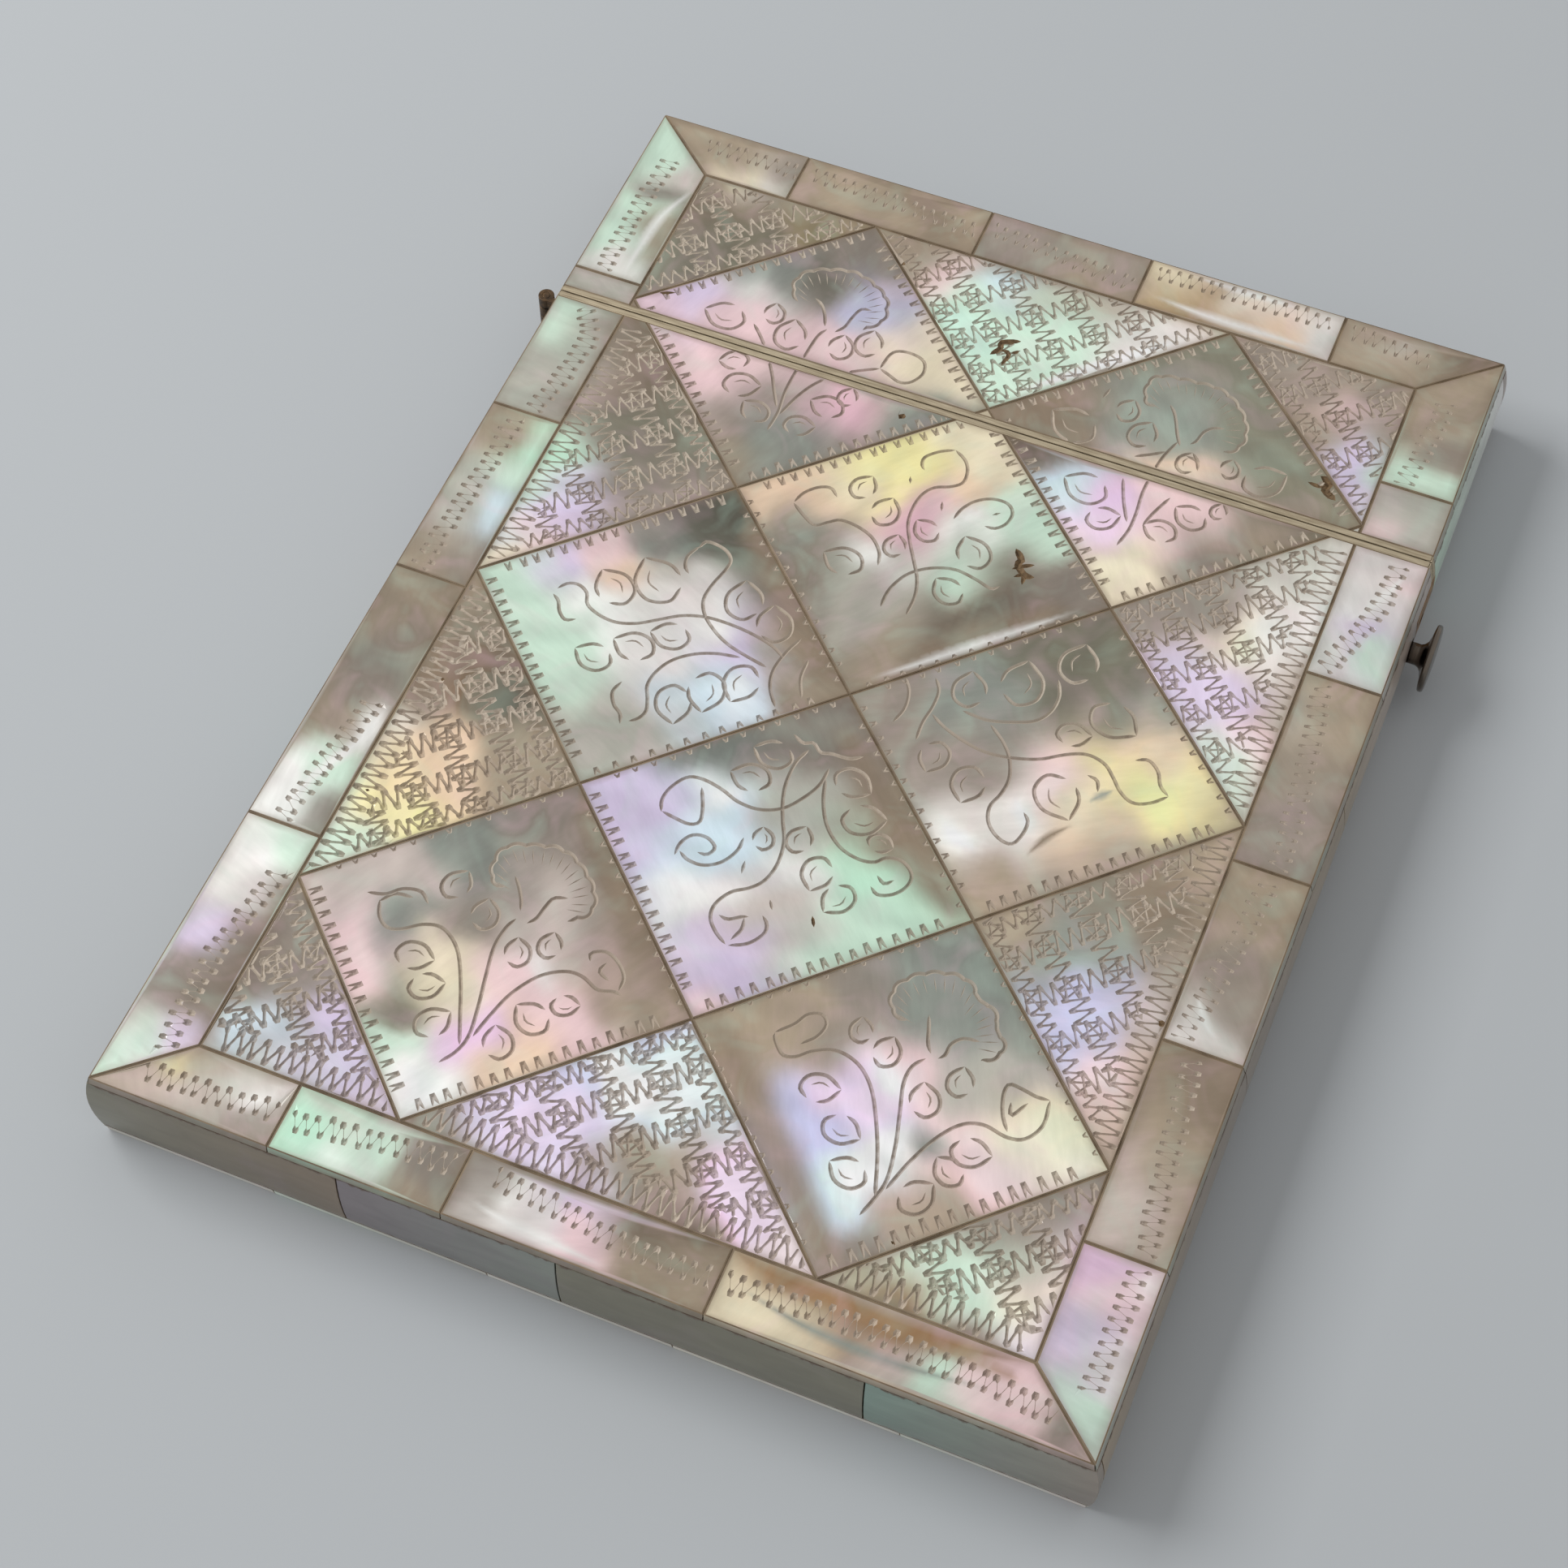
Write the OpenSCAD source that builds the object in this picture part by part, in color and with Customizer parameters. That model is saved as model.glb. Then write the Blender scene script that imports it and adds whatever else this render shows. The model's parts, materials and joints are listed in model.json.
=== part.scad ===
// Card case in mother-of-pearl veneer over a thin wooden carcass, lying on its back.
// X runs across the width, hinge at -X and push button at +X. Y runs up to the lid's top end.
// Z runs through the thickness, and z = 0 is the back face. Millimetres.

/* [Case] */
// Width across the flat faces
case_w = 78; // [74:0.1:90]
// Height of the closed case
case_h = 105.8; // [100:0.1:118]
// Thickness over both faces
case_t = 8.2; // [8:0.1:11]
// Distance of the split between lid and body from the lid's top end
split_from_top = 22.75; // [21.5:0.05:28]
// How far the long narrow sides swell out at mid thickness
side_bulge = 0.65; // [0.2:0.05:0.9]
// How far the two narrow ends swell out at mid thickness
end_bulge = 0.3; // [0.1:0.05:0.6]

/* [Veneer] */
// Thickness of the shell plaques on the two faces
face_veneer_t = 0.7; // [0.5:0.05:0.9]
// Thickness of the shell plaques on the narrow sides, at their edges
side_veneer_t = 0.8; // [0.7:0.05:1.2]
// Thickness of the shell plaques on the narrow ends, at their edges
end_veneer_t = 0.8; // [0.6:0.05:1.2]
// Width of the border strips down the long sides
border_side = 6.3; // [4:0.1:9]
// Width of the border strips along the two ends
border_end = 5.5; // [4:0.1:9]
// Width of the glue line between plaques
glue_line = 0.1; // [0.06:0.01:0.2]
// Half lozenges across the field
field_columns = 4; // [4:2:6]
// Half lozenges down the field
field_rows = 6; // [6:2:8]
// Joint in the lid's left border, from the top
lid_left_joint = 19.7; // [12:0.1:20.5]
// Joint in the lid's right border, from the top
lid_right_joint = 16.3; // [12:0.1:20.5]
// Joints in the body's left border, from the bottom
body_left_joints = [69.4, 50.9, 25.1]; // [12:0.1:72]
// Joints in the body's right border, from the bottom
body_right_joints = [68.7, 49.7, 32.9, 15.4]; // [12:0.1:72]
// Joints in the top border, from the left
top_joints = [14.1, 31.6, 46.4, 64]; // [10:0.1:66]
// Joints in the bottom border, from the left
bottom_joints = [14.7, 28.6, 49]; // [10:0.1:66]
// Joints in the bottom end's plaques, from the left
end_joints = [20.2, 37.6, 61.2]; // [8:0.1:66]
// Joints in the plaques of the body's narrow sides, from the bottom
side_joints = [58, 33]; // [8:0.1:70]

/* [Carcass] */
// Thickness of the body's front and back boards
board_t = 0.75; // [0.6:0.05:1.2]
// Thickness of the side boards of the body
side_board_t = 2.6; // [2.4:0.1:4]
// Thickness of the bottom and top boards
end_board_t = 2.6; // [1.5:0.1:5]
// Thickness of the liner plates in the card pocket
liner_t = 0.3; // [0.2:0.05:0.4]
// How far the liner stands up out of the body, inside the lid
sleeve_up = 6; // [3:0.1:9]
// Clearance between the liner's faces and the lid's boards
sleeve_gap = 0.25; // [0.1:0.05:0.3]
// Running clearance left at the sides when the lid swings over the liner
swing_gap = 0.2; // [0.1:0.05:0.4]
// Thickness of the silk in the lid
lid_lining_t = 0.2; // [0.1:0.05:0.3]

/* [Rims] */
// Thickness of each metal rim along the split
rim_t = 0.55; // [0.4:0.05:0.8]
// Gap between the two rims
rim_gap = 0.12; // [0.06:0.02:0.2]
// Width of the solder line at each rim corner
solder_line = 0.06; // [0.04:0.01:0.1]

/* [Hinge] */
// Radius of the hinge barrel
knuckle_r = 0.7; // [0.6:0.05:0.9]
// Radius of the hinge pin
pin_r = 0.35; // [0.2:0.05:0.4]
// Running clearance round the pin in the lid's knuckles
pin_gap = 0.04; // [0.02:0.01:0.08]
// Number of knuckles
knuckle_count = 5; // [3:2:7]
// Gap between knuckles
knuckle_gap = 0.1; // [0.05:0.01:0.15]
// How far the barrel stops short of each face
barrel_inset = 1.3; // [1.1:0.05:1.8]
// Gap between the barrel and the bulging side
hinge_gap = 0.1; // [0.05:0.01:0.3]
// Thickness of the hinge leaves
leaf_t = 0.5; // [0.3:0.05:0.6]
// Length of each hinge leaf along the side
leaf_len = 9; // [7:0.5:16]
// Radius of the rivets in the hinge leaves
rivet_r = 0.45; // [0.3:0.05:0.6]
// Length of the rivets in the hinge leaves and the tongue
rivet_len = 1.4; // [1:0.1:2]

/* [Catch] */
// Distance of the push button below the split
button_below_split = 6.3; // [6:0.05:12]
// Radius of the button's flat head
button_head_r = 2.85; // [2:0.05:3.6]
// Thickness of the button's head
button_head_t = 0.7; // [0.5:0.1:1.5]
// Radius of the button's neck
button_neck_r = 0.9; // [0.8:0.1:1.2]
// How far the button stands out from the swell of the side
button_out = 2.1; // [1.8:0.1:5]
// How far the neck flares out under the button's head
button_flare = 0.6; // [0.3:0.05:0.8]
// Clearance round the button's neck
neck_gap = 0.3; // [0.2:0.05:0.4]
// Distance of the nib below the split
nib_below_split = 3.15; // [2.6:0.05:3.4]
// Radius of the nib that holds the tongue
nib_r = 0.6; // [0.4:0.05:0.8]
// Clearance round the nib in the side of the body
nib_gap = 0.25; // [0.15:0.05:0.4]
// Clearance between the drawn-in nib and the tongue
nib_clear = 0.15; // [0.1:0.01:0.2]
// Distance of the spring's rivet below the split
spring_rivet_below_split = 23.15; // [18:0.1:26]
// Width of the leaf spring
spring_w = 3.2; // [2:0.1:3.6]
// Thickness of the leaf spring
spring_t = 0.3; // [0.2:0.05:0.35]
// Room for the spring to swing towards the pocket and away from it
spring_room = 0.7; // [0.65:0.05:0.8]
// Clearance between the spring's foot and its seat
foot_gap = 0.1; // [0.08:0.01:0.12]
// Length of the spring's foot beyond its rivet
foot_len = 2; // [1.5:0.1:2.2]
// Radius of the spring's rivet
spring_rivet_r = 0.4; // [0.3:0.05:0.5]
// Radius of the pegs that hold the button and the nib in the spring
spring_peg_r = 0.4; // [0.3:0.05:0.5]
// Length of the catch tongue below the split
tongue_len = 4.6; // [4.5:0.05:6]
// Width of the tongue
tongue_w = 3.6; // [2.4:0.1:4]
// Thickness of the tongue
tongue_t = 0.55; // [0.4:0.05:0.55]
// Length of the tongue's root inside the lid
tongue_root = 5; // [4:0.1:9]
// Clearance round the tongue in its recess
tongue_gap = 0.15; // [0.1:0.01:0.25]
// Radius of the tongue's rivets
tongue_rivet_r = 0.35; // [0.25:0.05:0.5]

/* [Hidden] */

// Fineness of true circles, and of the wide arcs of the swelling sides
$fn = 96;
arc_fn = 180;
// Overshoot of a cutting shape past the surface it cuts
cut = 1;

// Colours, as the photograph shows them
shell_pale = [0.84, 0.80, 0.74];
shell_warm = [0.76, 0.69, 0.60];
shell_rose = [0.85, 0.74, 0.76];
shell_mint = [0.74, 0.82, 0.76];
wood_brown = [0.45, 0.28, 0.16];
silk_red = [0.42, 0.07, 0.10];
rim_metal = [0.78, 0.70, 0.55];
brass_gold = [0.72, 0.52, 0.26];
steel_grey = [0.55, 0.54, 0.52];

// Halves and levels of the case
half_w = case_w / 2;
half_h = case_h / 2;
mid_z = case_t / 2;
split_y = half_h - split_from_top;
body_top_y = split_y - rim_gap / 2 - rim_t;
lid_low_y = split_y + rim_gap / 2 + rim_t;

// Radii of the swelling sides and ends, from chord and rise
side_r = mid_z * mid_z / (2 * side_bulge) + side_bulge / 2;
end_r = mid_z * mid_z / (2 * end_bulge) + end_bulge / 2;

// Half width and half height of the carcass under the veneer
carcass_x = half_w - side_veneer_t;
carcass_y = half_h - end_veneer_t;
// Inner face of the side boards and of the end boards
side_in = carcass_x - side_board_t;
end_in = carcass_y - end_board_t;
// Inner face of the body's back board, and of the liner on it
board_in = face_veneer_t + board_t;
pocket_in = board_in + liner_t;
// Inner face of the lid's back board, cleared for the liner
lid_board_in = board_in - sleeve_gap;
// Side clearance that the liner's top corner needs when the lid swings about the hinge
hinge_x = -(half_w + side_bulge + hinge_gap + knuckle_r);
swing_r = side_in - hinge_x;
lid_side_in = side_in + sqrt(swing_r * swing_r + sleeve_up * sleeve_up) - swing_r + swing_gap;
sleeve_y = split_y + sleeve_up;
// Room between the liner's top edge and the lid's lining
lining_gap = 0.6;

// Undersides of the two face layers
front_z = case_t - face_veneer_t;
back_z = 0;

// Field of lozenges
pitch_x = (case_w - 2 * border_side) / field_columns;
pitch_y = (case_h - 2 * border_end) / field_rows;

// Rim strips are drawn this many times as deep as the rim before the case's section trims them
rim_run = 1.6;

// Hinge barrel
barrel_len = case_t - 2 * barrel_inset;
knuckle_len = (barrel_len - (knuckle_count - 1) * knuckle_gap) / knuckle_count;
// Clearance of the cuts round the leaves and the tongue's root
inlay_gap = 0.05;
// Rivets stand at these shares of the leaf's or root's length
rivet_shares = [0.3, 0.75];

// Catch
button_y = split_y - button_below_split;
nib_y = split_y - nib_below_split;
spring_pivot_y = split_y - spring_rivet_below_split;
// Metal left above the nib at the spring's end
spring_end_margin = 0.6;
spring_in = side_in + spring_room;
spring_out = spring_in + spring_t;
spring_end_y = nib_y + nib_r + spring_end_margin;
spring_seat_x = spring_out + foot_gap;
spring_pocket_x = spring_out + spring_room - foot_gap;
spring_foot_y = spring_pivot_y - foot_len;
// Clearance round the spring in its pocket
pocket_gap = 0.3;
// The head's edge stands between these shares of its thickness, and its flat top has this share of its radius
head_edge = [0.2, 0.7];
head_flat = 0.85;
// Wood left outside the spring's rivet, and the gap between its head and the liner
rivet_cover = 0.2;
spring_rivet_end_x = carcass_x - rivet_cover;
spring_rivet_head_r = 2 * spring_rivet_r;
// Inner and outer face of the tongue's leg
tongue_out = half_w + side_bulge;
tongue_in = tongue_out - tongue_t;
recess_x = tongue_in - tongue_gap;
nib_tip_x = tongue_in - nib_clear;
// Radius of the holes for the nib, in the tongue and in the side of the body
nib_hole_r = nib_r + nib_gap;

// A vector scaled to length one
function unit(v) = v / norm(v);

// Twice the signed area of an outline
function area2(p) =
    let (n = len(p))
    [for (i = [0 : n - 1]) cross(p[i], p[(i + 1) % n])] * [for (i = [1 : n]) 1];

// A convex outline drawn in by d on every edge
function inset(p, d) =
    let (n = len(p), s = sign(area2(p)))
    [for (i = [0 : n - 1])
        let (
            u = unit(p[i] - p[(i + n - 1) % n]),
            v = unit(p[(i + 1) % n] - p[i]),
            nu = s * [-u[1], u[0]],
            nv = s * [-v[1], v[0]]
        )
        p[i] + (nu + nv) * d / (1 + nu * nv)];

// A corner of the lozenge lattice, column c from the left and row r from the top
function lattice(c, r) = [-half_w + border_side + c * pitch_x, half_h - border_end - r * pitch_y];

// Outline of a lozenge, and of the half and quarter lozenges at the field's edge
function lozenge_outline(c, r) = [lattice(c, r - 1), lattice(c + 1, r), lattice(c, r + 1), lattice(c - 1, r)];
function left_outline(r) = [lattice(0, r - 1), lattice(1, r), lattice(0, r + 1)];
function right_outline(r) = [lattice(field_columns, r - 1), lattice(field_columns, r + 1),
    lattice(field_columns - 1, r)];
function top_outline(c) = [lattice(c - 1, 0), lattice(c + 1, 0), lattice(c, 1)];
function bottom_outline(c) = [lattice(c - 1, field_rows), lattice(c, field_rows - 1),
    lattice(c + 1, field_rows)];
function corner_outlines() = [
    [lattice(0, 0), lattice(1, 0), lattice(0, 1)],
    [lattice(field_columns - 1, 0), lattice(field_columns, 0), lattice(field_columns, 1)],
    [lattice(0, field_rows - 1), lattice(1, field_rows), lattice(0, field_rows)],
    [lattice(field_columns, field_rows - 1), lattice(field_columns, field_rows),
        lattice(field_columns - 1, field_rows)]
];

// True where the lattice has a lozenge's centre: every second place of a row, shifted from row to row
function is_centre(c, r) = (c + r) % 2 == 0;

// Every triangle that fills the field's edge between the lozenges
function triangle_outlines() = concat(
    corner_outlines(),
    [for (r = [1 : field_rows - 1]) if (is_centre(0, r)) left_outline(r)],
    [for (r = [1 : field_rows - 1]) if (is_centre(field_columns, r)) right_outline(r)],
    [for (c = [1 : field_columns - 1]) if (is_centre(c, 0)) top_outline(c)],
    [for (c = [1 : field_columns - 1]) if (is_centre(c, field_rows)) bottom_outline(c)]
);

// Every lozenge as [column, row], row by row from the top
function lozenge_places() = [for (r = [1 : field_rows - 1]) for (c = [1 : field_columns - 1])
    if (is_centre(c, r)) [c, r]];

// Lozenges of the front that have a node of their own. A larger field's extra ones go with the triangles
own_count = 8;

// Draws a section given in X and Z, from y0 to y1
module along_y(y0, y1) {
    translate([0, y1, 0]) rotate([90, 0, 0]) linear_extrude(y1 - y0) children();
}

// Draws a section given in Y and Z, from x0 to x1
module along_x(x0, x1) {
    translate([x0, 0, 0]) rotate([90, 0, 90]) linear_extrude(x1 - x0) children();
}

// A box from its low corner to its high corner
module box(low, high) {
    translate(low) cube(high - low);
}

// A cylinder along X, from x0 to x1 at y and z
module rod_x(x0, x1, y, z, r) {
    translate([x0, y, z]) rotate([0, 90, 0]) cylinder(h = x1 - x0, r = r);
}

// A strip of the section with one swelling edge: a rise of bulge on a chord of the full thickness
module swell(half, bulge, r) {
    translate([-half, 0]) square([2 * half, case_t]);
    for (s = [-1, 1]) intersection() {
        translate([s * (half + bulge - r), mid_z]) circle(r, $fn = arc_fn);
        translate([s * (half + cut / 2) - cut, 0]) square([2 * cut, case_t]);
    }
}

// The outer form of the case, which every veneer is finished to
module envelope() {
    intersection() {
        along_y(-half_h - cut, half_h + cut) swell(half_w, side_bulge, side_r);
        along_x(-half_w - cut, half_w + cut) swell(half_h, end_bulge, end_r);
    }
}

// The space below the split that belongs to the body, and the space above it that belongs to the lid
module body_zone() {
    box([-half_w - cut, -half_h - cut, -cut], [half_w + cut, body_top_y, case_t + cut]);
}

module lid_zone() {
    box([-half_w - cut, lid_low_y, -cut], [half_w + cut, half_h + cut, case_t + cut]);
}

// A plaque with the given outline, lying in the face layer whose underside is at z
module plaque(outline, z) {
    translate([0, 0, z]) linear_extrude(face_veneer_t) polygon(inset(outline, glue_line / 2));
}

// Outline of one mitred border, run out past the edge of the case, where the envelope cuts it
function border_run() = cut / min(border_side, border_end);
function outer(sx, sy) = [
    sx * (half_w + border_side * border_run()),
    sy * (half_h + border_end * border_run())
];
function inner(sx, sy) = [sx * (half_w - border_side), sy * (half_h - border_end)];
function side_border(s) = [outer(s, -1), outer(s, 1), inner(s, 1), inner(s, -1)];
function end_border(s) = [outer(-1, s), outer(1, s), inner(1, s), inner(-1, s)];

// One strip of a side border between two levels of Y
module side_strip(s, y0, y1, z) {
    intersection() {
        envelope();
        plaque(side_border(s), z);
        box(
            [-half_w - cut, y0 + glue_line / 2, z - cut],
            [half_w + cut, y1 - glue_line / 2, z + cut + face_veneer_t]
        );
    }
}

// One strip of an end border between two levels of X
module end_strip(s, x0, x1, z) {
    intersection() {
        envelope();
        plaque(end_border(s), z);
        box(
            [x0 + glue_line / 2, -half_h - cut, z - cut],
            [x1 - glue_line / 2, half_h + cut, z + cut + face_veneer_t]
        );
    }
}

// The strips of the body's side border. Joints are measured from the bottom, highest first
module body_side_strips(s, joints, z) {
    levels = concat([body_top_y + glue_line / 2], [for (j = joints) -half_h + j], [-half_h - cut]);
    for (i = [0 : len(levels) - 2]) side_strip(s, levels[i + 1], levels[i], z);
}

// The strips of the lid's side border, with one joint measured from the top
module lid_side_strips(s, joint, z) {
    side_strip(s, half_h - joint, half_h + cut, z);
    side_strip(s, lid_low_y - glue_line / 2, half_h - joint, z);
}

// The strips of an end border, with joints measured from the left
module end_strips(s, joints, z) {
    levels = concat([-half_w - cut], [for (j = joints) -half_w + j], [half_w + cut]);
    for (i = [0 : len(levels) - 2]) end_strip(s, levels[i], levels[i + 1], z);
}

// The part of a lozenge that lies in the body
module body_lozenge(c, r, z) {
    intersection() {
        plaque(lozenge_outline(c, r), z);
        body_zone();
    }
}

// The parts of all lozenges that lie in the lid
module lid_lozenges(z) {
    for (p = lozenge_places()) intersection() {
        plaque(lozenge_outline(p[0], p[1]), z);
        lid_zone();
    }
}

// The parts of all triangles in the body
module body_triangles(z) {
    for (t = triangle_outlines()) intersection() {
        plaque(t, z);
        body_zone();
    }
}

// The parts of all triangles in the lid
module lid_triangles(z) {
    for (t = triangle_outlines()) intersection() {
        plaque(t, z);
        lid_zone();
    }
}

// One lozenge of the front face in a node of its own, by its place in the list
module front_lozenge(i, tone) {
    places = lozenge_places();
    color(tone) body_lozenge(places[i][0], places[i][1], front_z);
}

module front_lozenge_upper_left() {
    front_lozenge(0, shell_rose);
}

module front_lozenge_upper_right() {
    front_lozenge(1, shell_rose);
}

module front_lozenge_upper_middle() {
    front_lozenge(2, shell_mint);
}

module front_lozenge_middle_left() {
    front_lozenge(3, shell_rose);
}

module front_lozenge_middle_right() {
    front_lozenge(4, shell_warm);
}

module front_lozenge_lower_middle() {
    front_lozenge(5, shell_mint);
}

module front_lozenge_lower_left() {
    front_lozenge(6, shell_warm);
}

module front_lozenge_lower_right() {
    front_lozenge(7, shell_rose);
}

module lid_front_lozenges() {
    color(shell_rose) lid_lozenges(front_z);
}

module body_front_triangles() {
    places = lozenge_places();
    color(shell_pale) {
        body_triangles(front_z);
        for (i = [0 : len(places) - 1]) if (i >= own_count) body_lozenge(places[i][0], places[i][1], front_z);
    }
}

module lid_front_triangles() {
    color(shell_mint) lid_triangles(front_z);
}

module body_front_left_border() {
    color(shell_mint) body_side_strips(-1, body_left_joints, front_z);
}

module body_front_right_border() {
    color(shell_warm) body_side_strips(1, body_right_joints, front_z);
}

module body_front_bottom_border() {
    color(shell_pale) end_strips(-1, bottom_joints, front_z);
}

module lid_front_left_border() {
    color(shell_mint) lid_side_strips(-1, lid_left_joint, front_z);
}

module lid_front_right_border() {
    color(shell_warm) lid_side_strips(1, lid_right_joint, front_z);
}

module lid_front_top_border() {
    color(shell_pale) end_strips(1, top_joints, front_z);
}

// The back repeats the front's pattern, with the joints of its borders changed over
module body_back_border() {
    color(shell_warm) {
        body_side_strips(-1, body_right_joints, back_z);
        body_side_strips(1, body_left_joints, back_z);
        end_strips(-1, top_joints, back_z);
    }
}

module lid_back_border() {
    color(shell_warm) {
        lid_side_strips(-1, lid_right_joint, back_z);
        lid_side_strips(1, lid_left_joint, back_z);
        end_strips(1, bottom_joints, back_z);
    }
}

module body_back_lozenges() {
    color(shell_rose) for (p = lozenge_places()) body_lozenge(p[0], p[1], back_z);
}

module lid_back_lozenges() {
    color(shell_rose) lid_lozenges(back_z);
}

module body_back_triangles() {
    color(shell_pale) body_triangles(back_z);
}

module lid_back_triangles() {
    color(shell_pale) lid_triangles(back_z);
}

// One plaque of a narrow side, s = -1 left or 1 right, between two levels of Y
module side_plaque(s, y0, y1) {
    x0 = s > 0 ? carcass_x : -half_w - cut;
    x1 = s > 0 ? half_w + cut : -carcass_x;
    intersection() {
        envelope();
        box(
            [x0, y0 + glue_line / 2, face_veneer_t + glue_line],
            [x1, y1 - glue_line / 2, case_t - face_veneer_t - glue_line]
        );
    }
}

// The plaques of the body's narrow side
module body_side_plaques(s) {
    top = body_top_y + glue_line / 2;
    levels = concat([top], [for (j = side_joints) -half_h + j], [-carcass_y + glue_line / 2]);
    for (i = [0 : len(levels) - 2]) side_plaque(s, levels[i + 1], levels[i]);
}

// The plaques of a narrow end, s = -1 bottom or 1 top, with joints from the left
module end_plaques(s, joints) {
    y0 = s > 0 ? carcass_y : -half_h - cut;
    y1 = s > 0 ? half_h + cut : -carcass_y;
    levels = concat([-half_w - cut], [for (j = joints) -half_w + j], [half_w + cut]);
    intersection() {
        envelope();
        for (i = [0 : len(levels) - 2]) box(
            [levels[i] + glue_line / 2, y0, face_veneer_t + glue_line],
            [levels[i + 1] - glue_line / 2, y1, case_t - face_veneer_t - glue_line]
        );
    }
}

// The room that a hinge leaf takes up in the veneer over it
module leaf_cut(y0, y1) {
    box(
        [-carcass_x - leaf_t - inlay_gap, y0 - inlay_gap, barrel_inset - inlay_gap],
        [-carcass_x + inlay_gap, y1 + inlay_gap, case_t - barrel_inset + inlay_gap]
    );
}

// The recess in the body that the tongue's leg lies in
module tongue_recess() {
    box(
        [recess_x, split_y - tongue_len - tongue_gap, mid_z - tongue_w / 2 - tongue_gap],
        [half_w + 2 * cut, split_y, mid_z + tongue_w / 2 + tongue_gap]
    );
}

// The room that the tongue's root takes up under the lid's veneer and through its rim
module tongue_root_cut() {
    z0 = mid_z - tongue_w / 2 - inlay_gap;
    z1 = mid_z + tongue_w / 2 + inlay_gap;
    box(
        [carcass_x - inlay_gap, split_y, z0],
        [carcass_x + tongue_t + inlay_gap, lid_low_y + tongue_root + inlay_gap, z1]
    );
    box([carcass_x - inlay_gap, split_y, z0], [half_w + 2 * cut, lid_low_y + inlay_gap, z1]);
}

// Bores through the body's right side for the button's neck and for the nib
module catch_bores() {
    rod_x(side_in - cut, half_w + 2 * cut, button_y, mid_z, button_neck_r + neck_gap);
    rod_x(side_in - cut, half_w + 2 * cut, nib_y, mid_z, nib_hole_r);
}

module body_left_side_veneer() {
    color(shell_pale) difference() {
        body_side_plaques(-1);
        leaf_cut(body_top_y - leaf_len, split_y);
    }
}

module body_right_side_veneer() {
    color(shell_warm) difference() {
        body_side_plaques(1);
        tongue_recess();
        catch_bores();
    }
}

module body_end_veneer() {
    color(shell_mint) end_plaques(-1, end_joints);
}

module lid_left_side_veneer() {
    color(shell_pale) difference() {
        side_plaque(-1, lid_low_y - glue_line / 2, carcass_y - glue_line / 2);
        leaf_cut(split_y, lid_low_y + leaf_len);
    }
}

module lid_right_side_veneer() {
    color(shell_warm) difference() {
        side_plaque(1, lid_low_y - glue_line / 2, carcass_y - glue_line / 2);
        tongue_root_cut();
    }
}

module lid_end_veneer() {
    color(shell_mint) end_plaques(1, end_joints);
}

// Carcass of the body
module body_front_board() {
    color(wood_brown) box(
        [-carcass_x, -carcass_y, case_t - board_in],
        [carcass_x, body_top_y, case_t - face_veneer_t]
    );
}

module body_back_board() {
    color(wood_brown) box([-carcass_x, -carcass_y, face_veneer_t], [carcass_x, body_top_y, board_in]);
}

module body_left_board() {
    color(wood_brown) difference() {
        box([-carcass_x, -carcass_y, board_in], [-side_in, body_top_y, case_t - board_in]);
        rivet_rods(-1, body_top_y, -leaf_len, rivet_r);
    }
}

// The right board holds the catch spring in a pocket that the liner covers
module body_right_board() {
    z0 = mid_z - spring_w / 2 - pocket_gap;
    z1 = mid_z + spring_w / 2 + pocket_gap;
    seat_end = spring_pivot_y + foot_len;
    color(wood_brown) difference() {
        box([side_in, -carcass_y, board_in], [carcass_x, body_top_y, case_t - board_in]);
        box([side_in - cut, spring_foot_y - pocket_gap, z0], [spring_seat_x, seat_end + cut, z1]);
        box([side_in - cut, seat_end, z0], [spring_pocket_x, spring_end_y + pocket_gap, z1]);
        catch_bores();
        rod_x(spring_seat_x - cut, spring_rivet_end_x, spring_pivot_y, mid_z, spring_rivet_r);
    }
}

module body_bottom_board() {
    color(wood_brown) box([-side_in, -carcass_y, board_in], [side_in, -end_in, case_t - board_in]);
}

// Carcass of the lid, thinner by the liner's clearance
module lid_front_board() {
    color(wood_brown) box(
        [-carcass_x, lid_low_y, case_t - lid_board_in],
        [carcass_x, carcass_y, case_t - face_veneer_t]
    );
}

module lid_back_board() {
    color(wood_brown) box([-carcass_x, lid_low_y, face_veneer_t], [carcass_x, carcass_y, lid_board_in]);
}

module lid_left_board() {
    color(wood_brown) difference() {
        box([-carcass_x, lid_low_y, lid_board_in], [-lid_side_in, carcass_y, case_t - lid_board_in]);
        rivet_rods(-1, lid_low_y, leaf_len, rivet_r);
    }
}

module lid_right_board() {
    color(wood_brown) difference() {
        box([lid_side_in, lid_low_y, lid_board_in], [carcass_x, carcass_y, case_t - lid_board_in]);
        rivet_rods(1, lid_low_y, tongue_root, tongue_rivet_r);
    }
}

module lid_top_board() {
    color(wood_brown) box(
        [-lid_side_in, end_in, lid_board_in],
        [lid_side_in, carcass_y, case_t - lid_board_in]
    );
}

// Liner of the card pocket, which stands up out of the body as the lid's sleeve
module liner_front() {
    color(silk_red) box([-side_in, -end_in, case_t - pocket_in], [side_in, sleeve_y, case_t - board_in]);
}

module liner_back() {
    color(silk_red) box([-side_in, -end_in, board_in], [side_in, sleeve_y, pocket_in]);
}

module liner_left() {
    color(silk_red) box([-side_in, -end_in, pocket_in], [-side_in + liner_t, sleeve_y, case_t - pocket_in]);
}

module liner_right() {
    color(silk_red) box([side_in - liner_t, -end_in, pocket_in], [side_in, sleeve_y, case_t - pocket_in]);
}

module liner_floor() {
    color(silk_red) box(
        [-side_in + liner_t, -end_in, pocket_in],
        [side_in - liner_t, -end_in + liner_t, case_t - pocket_in]
    );
}

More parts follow.
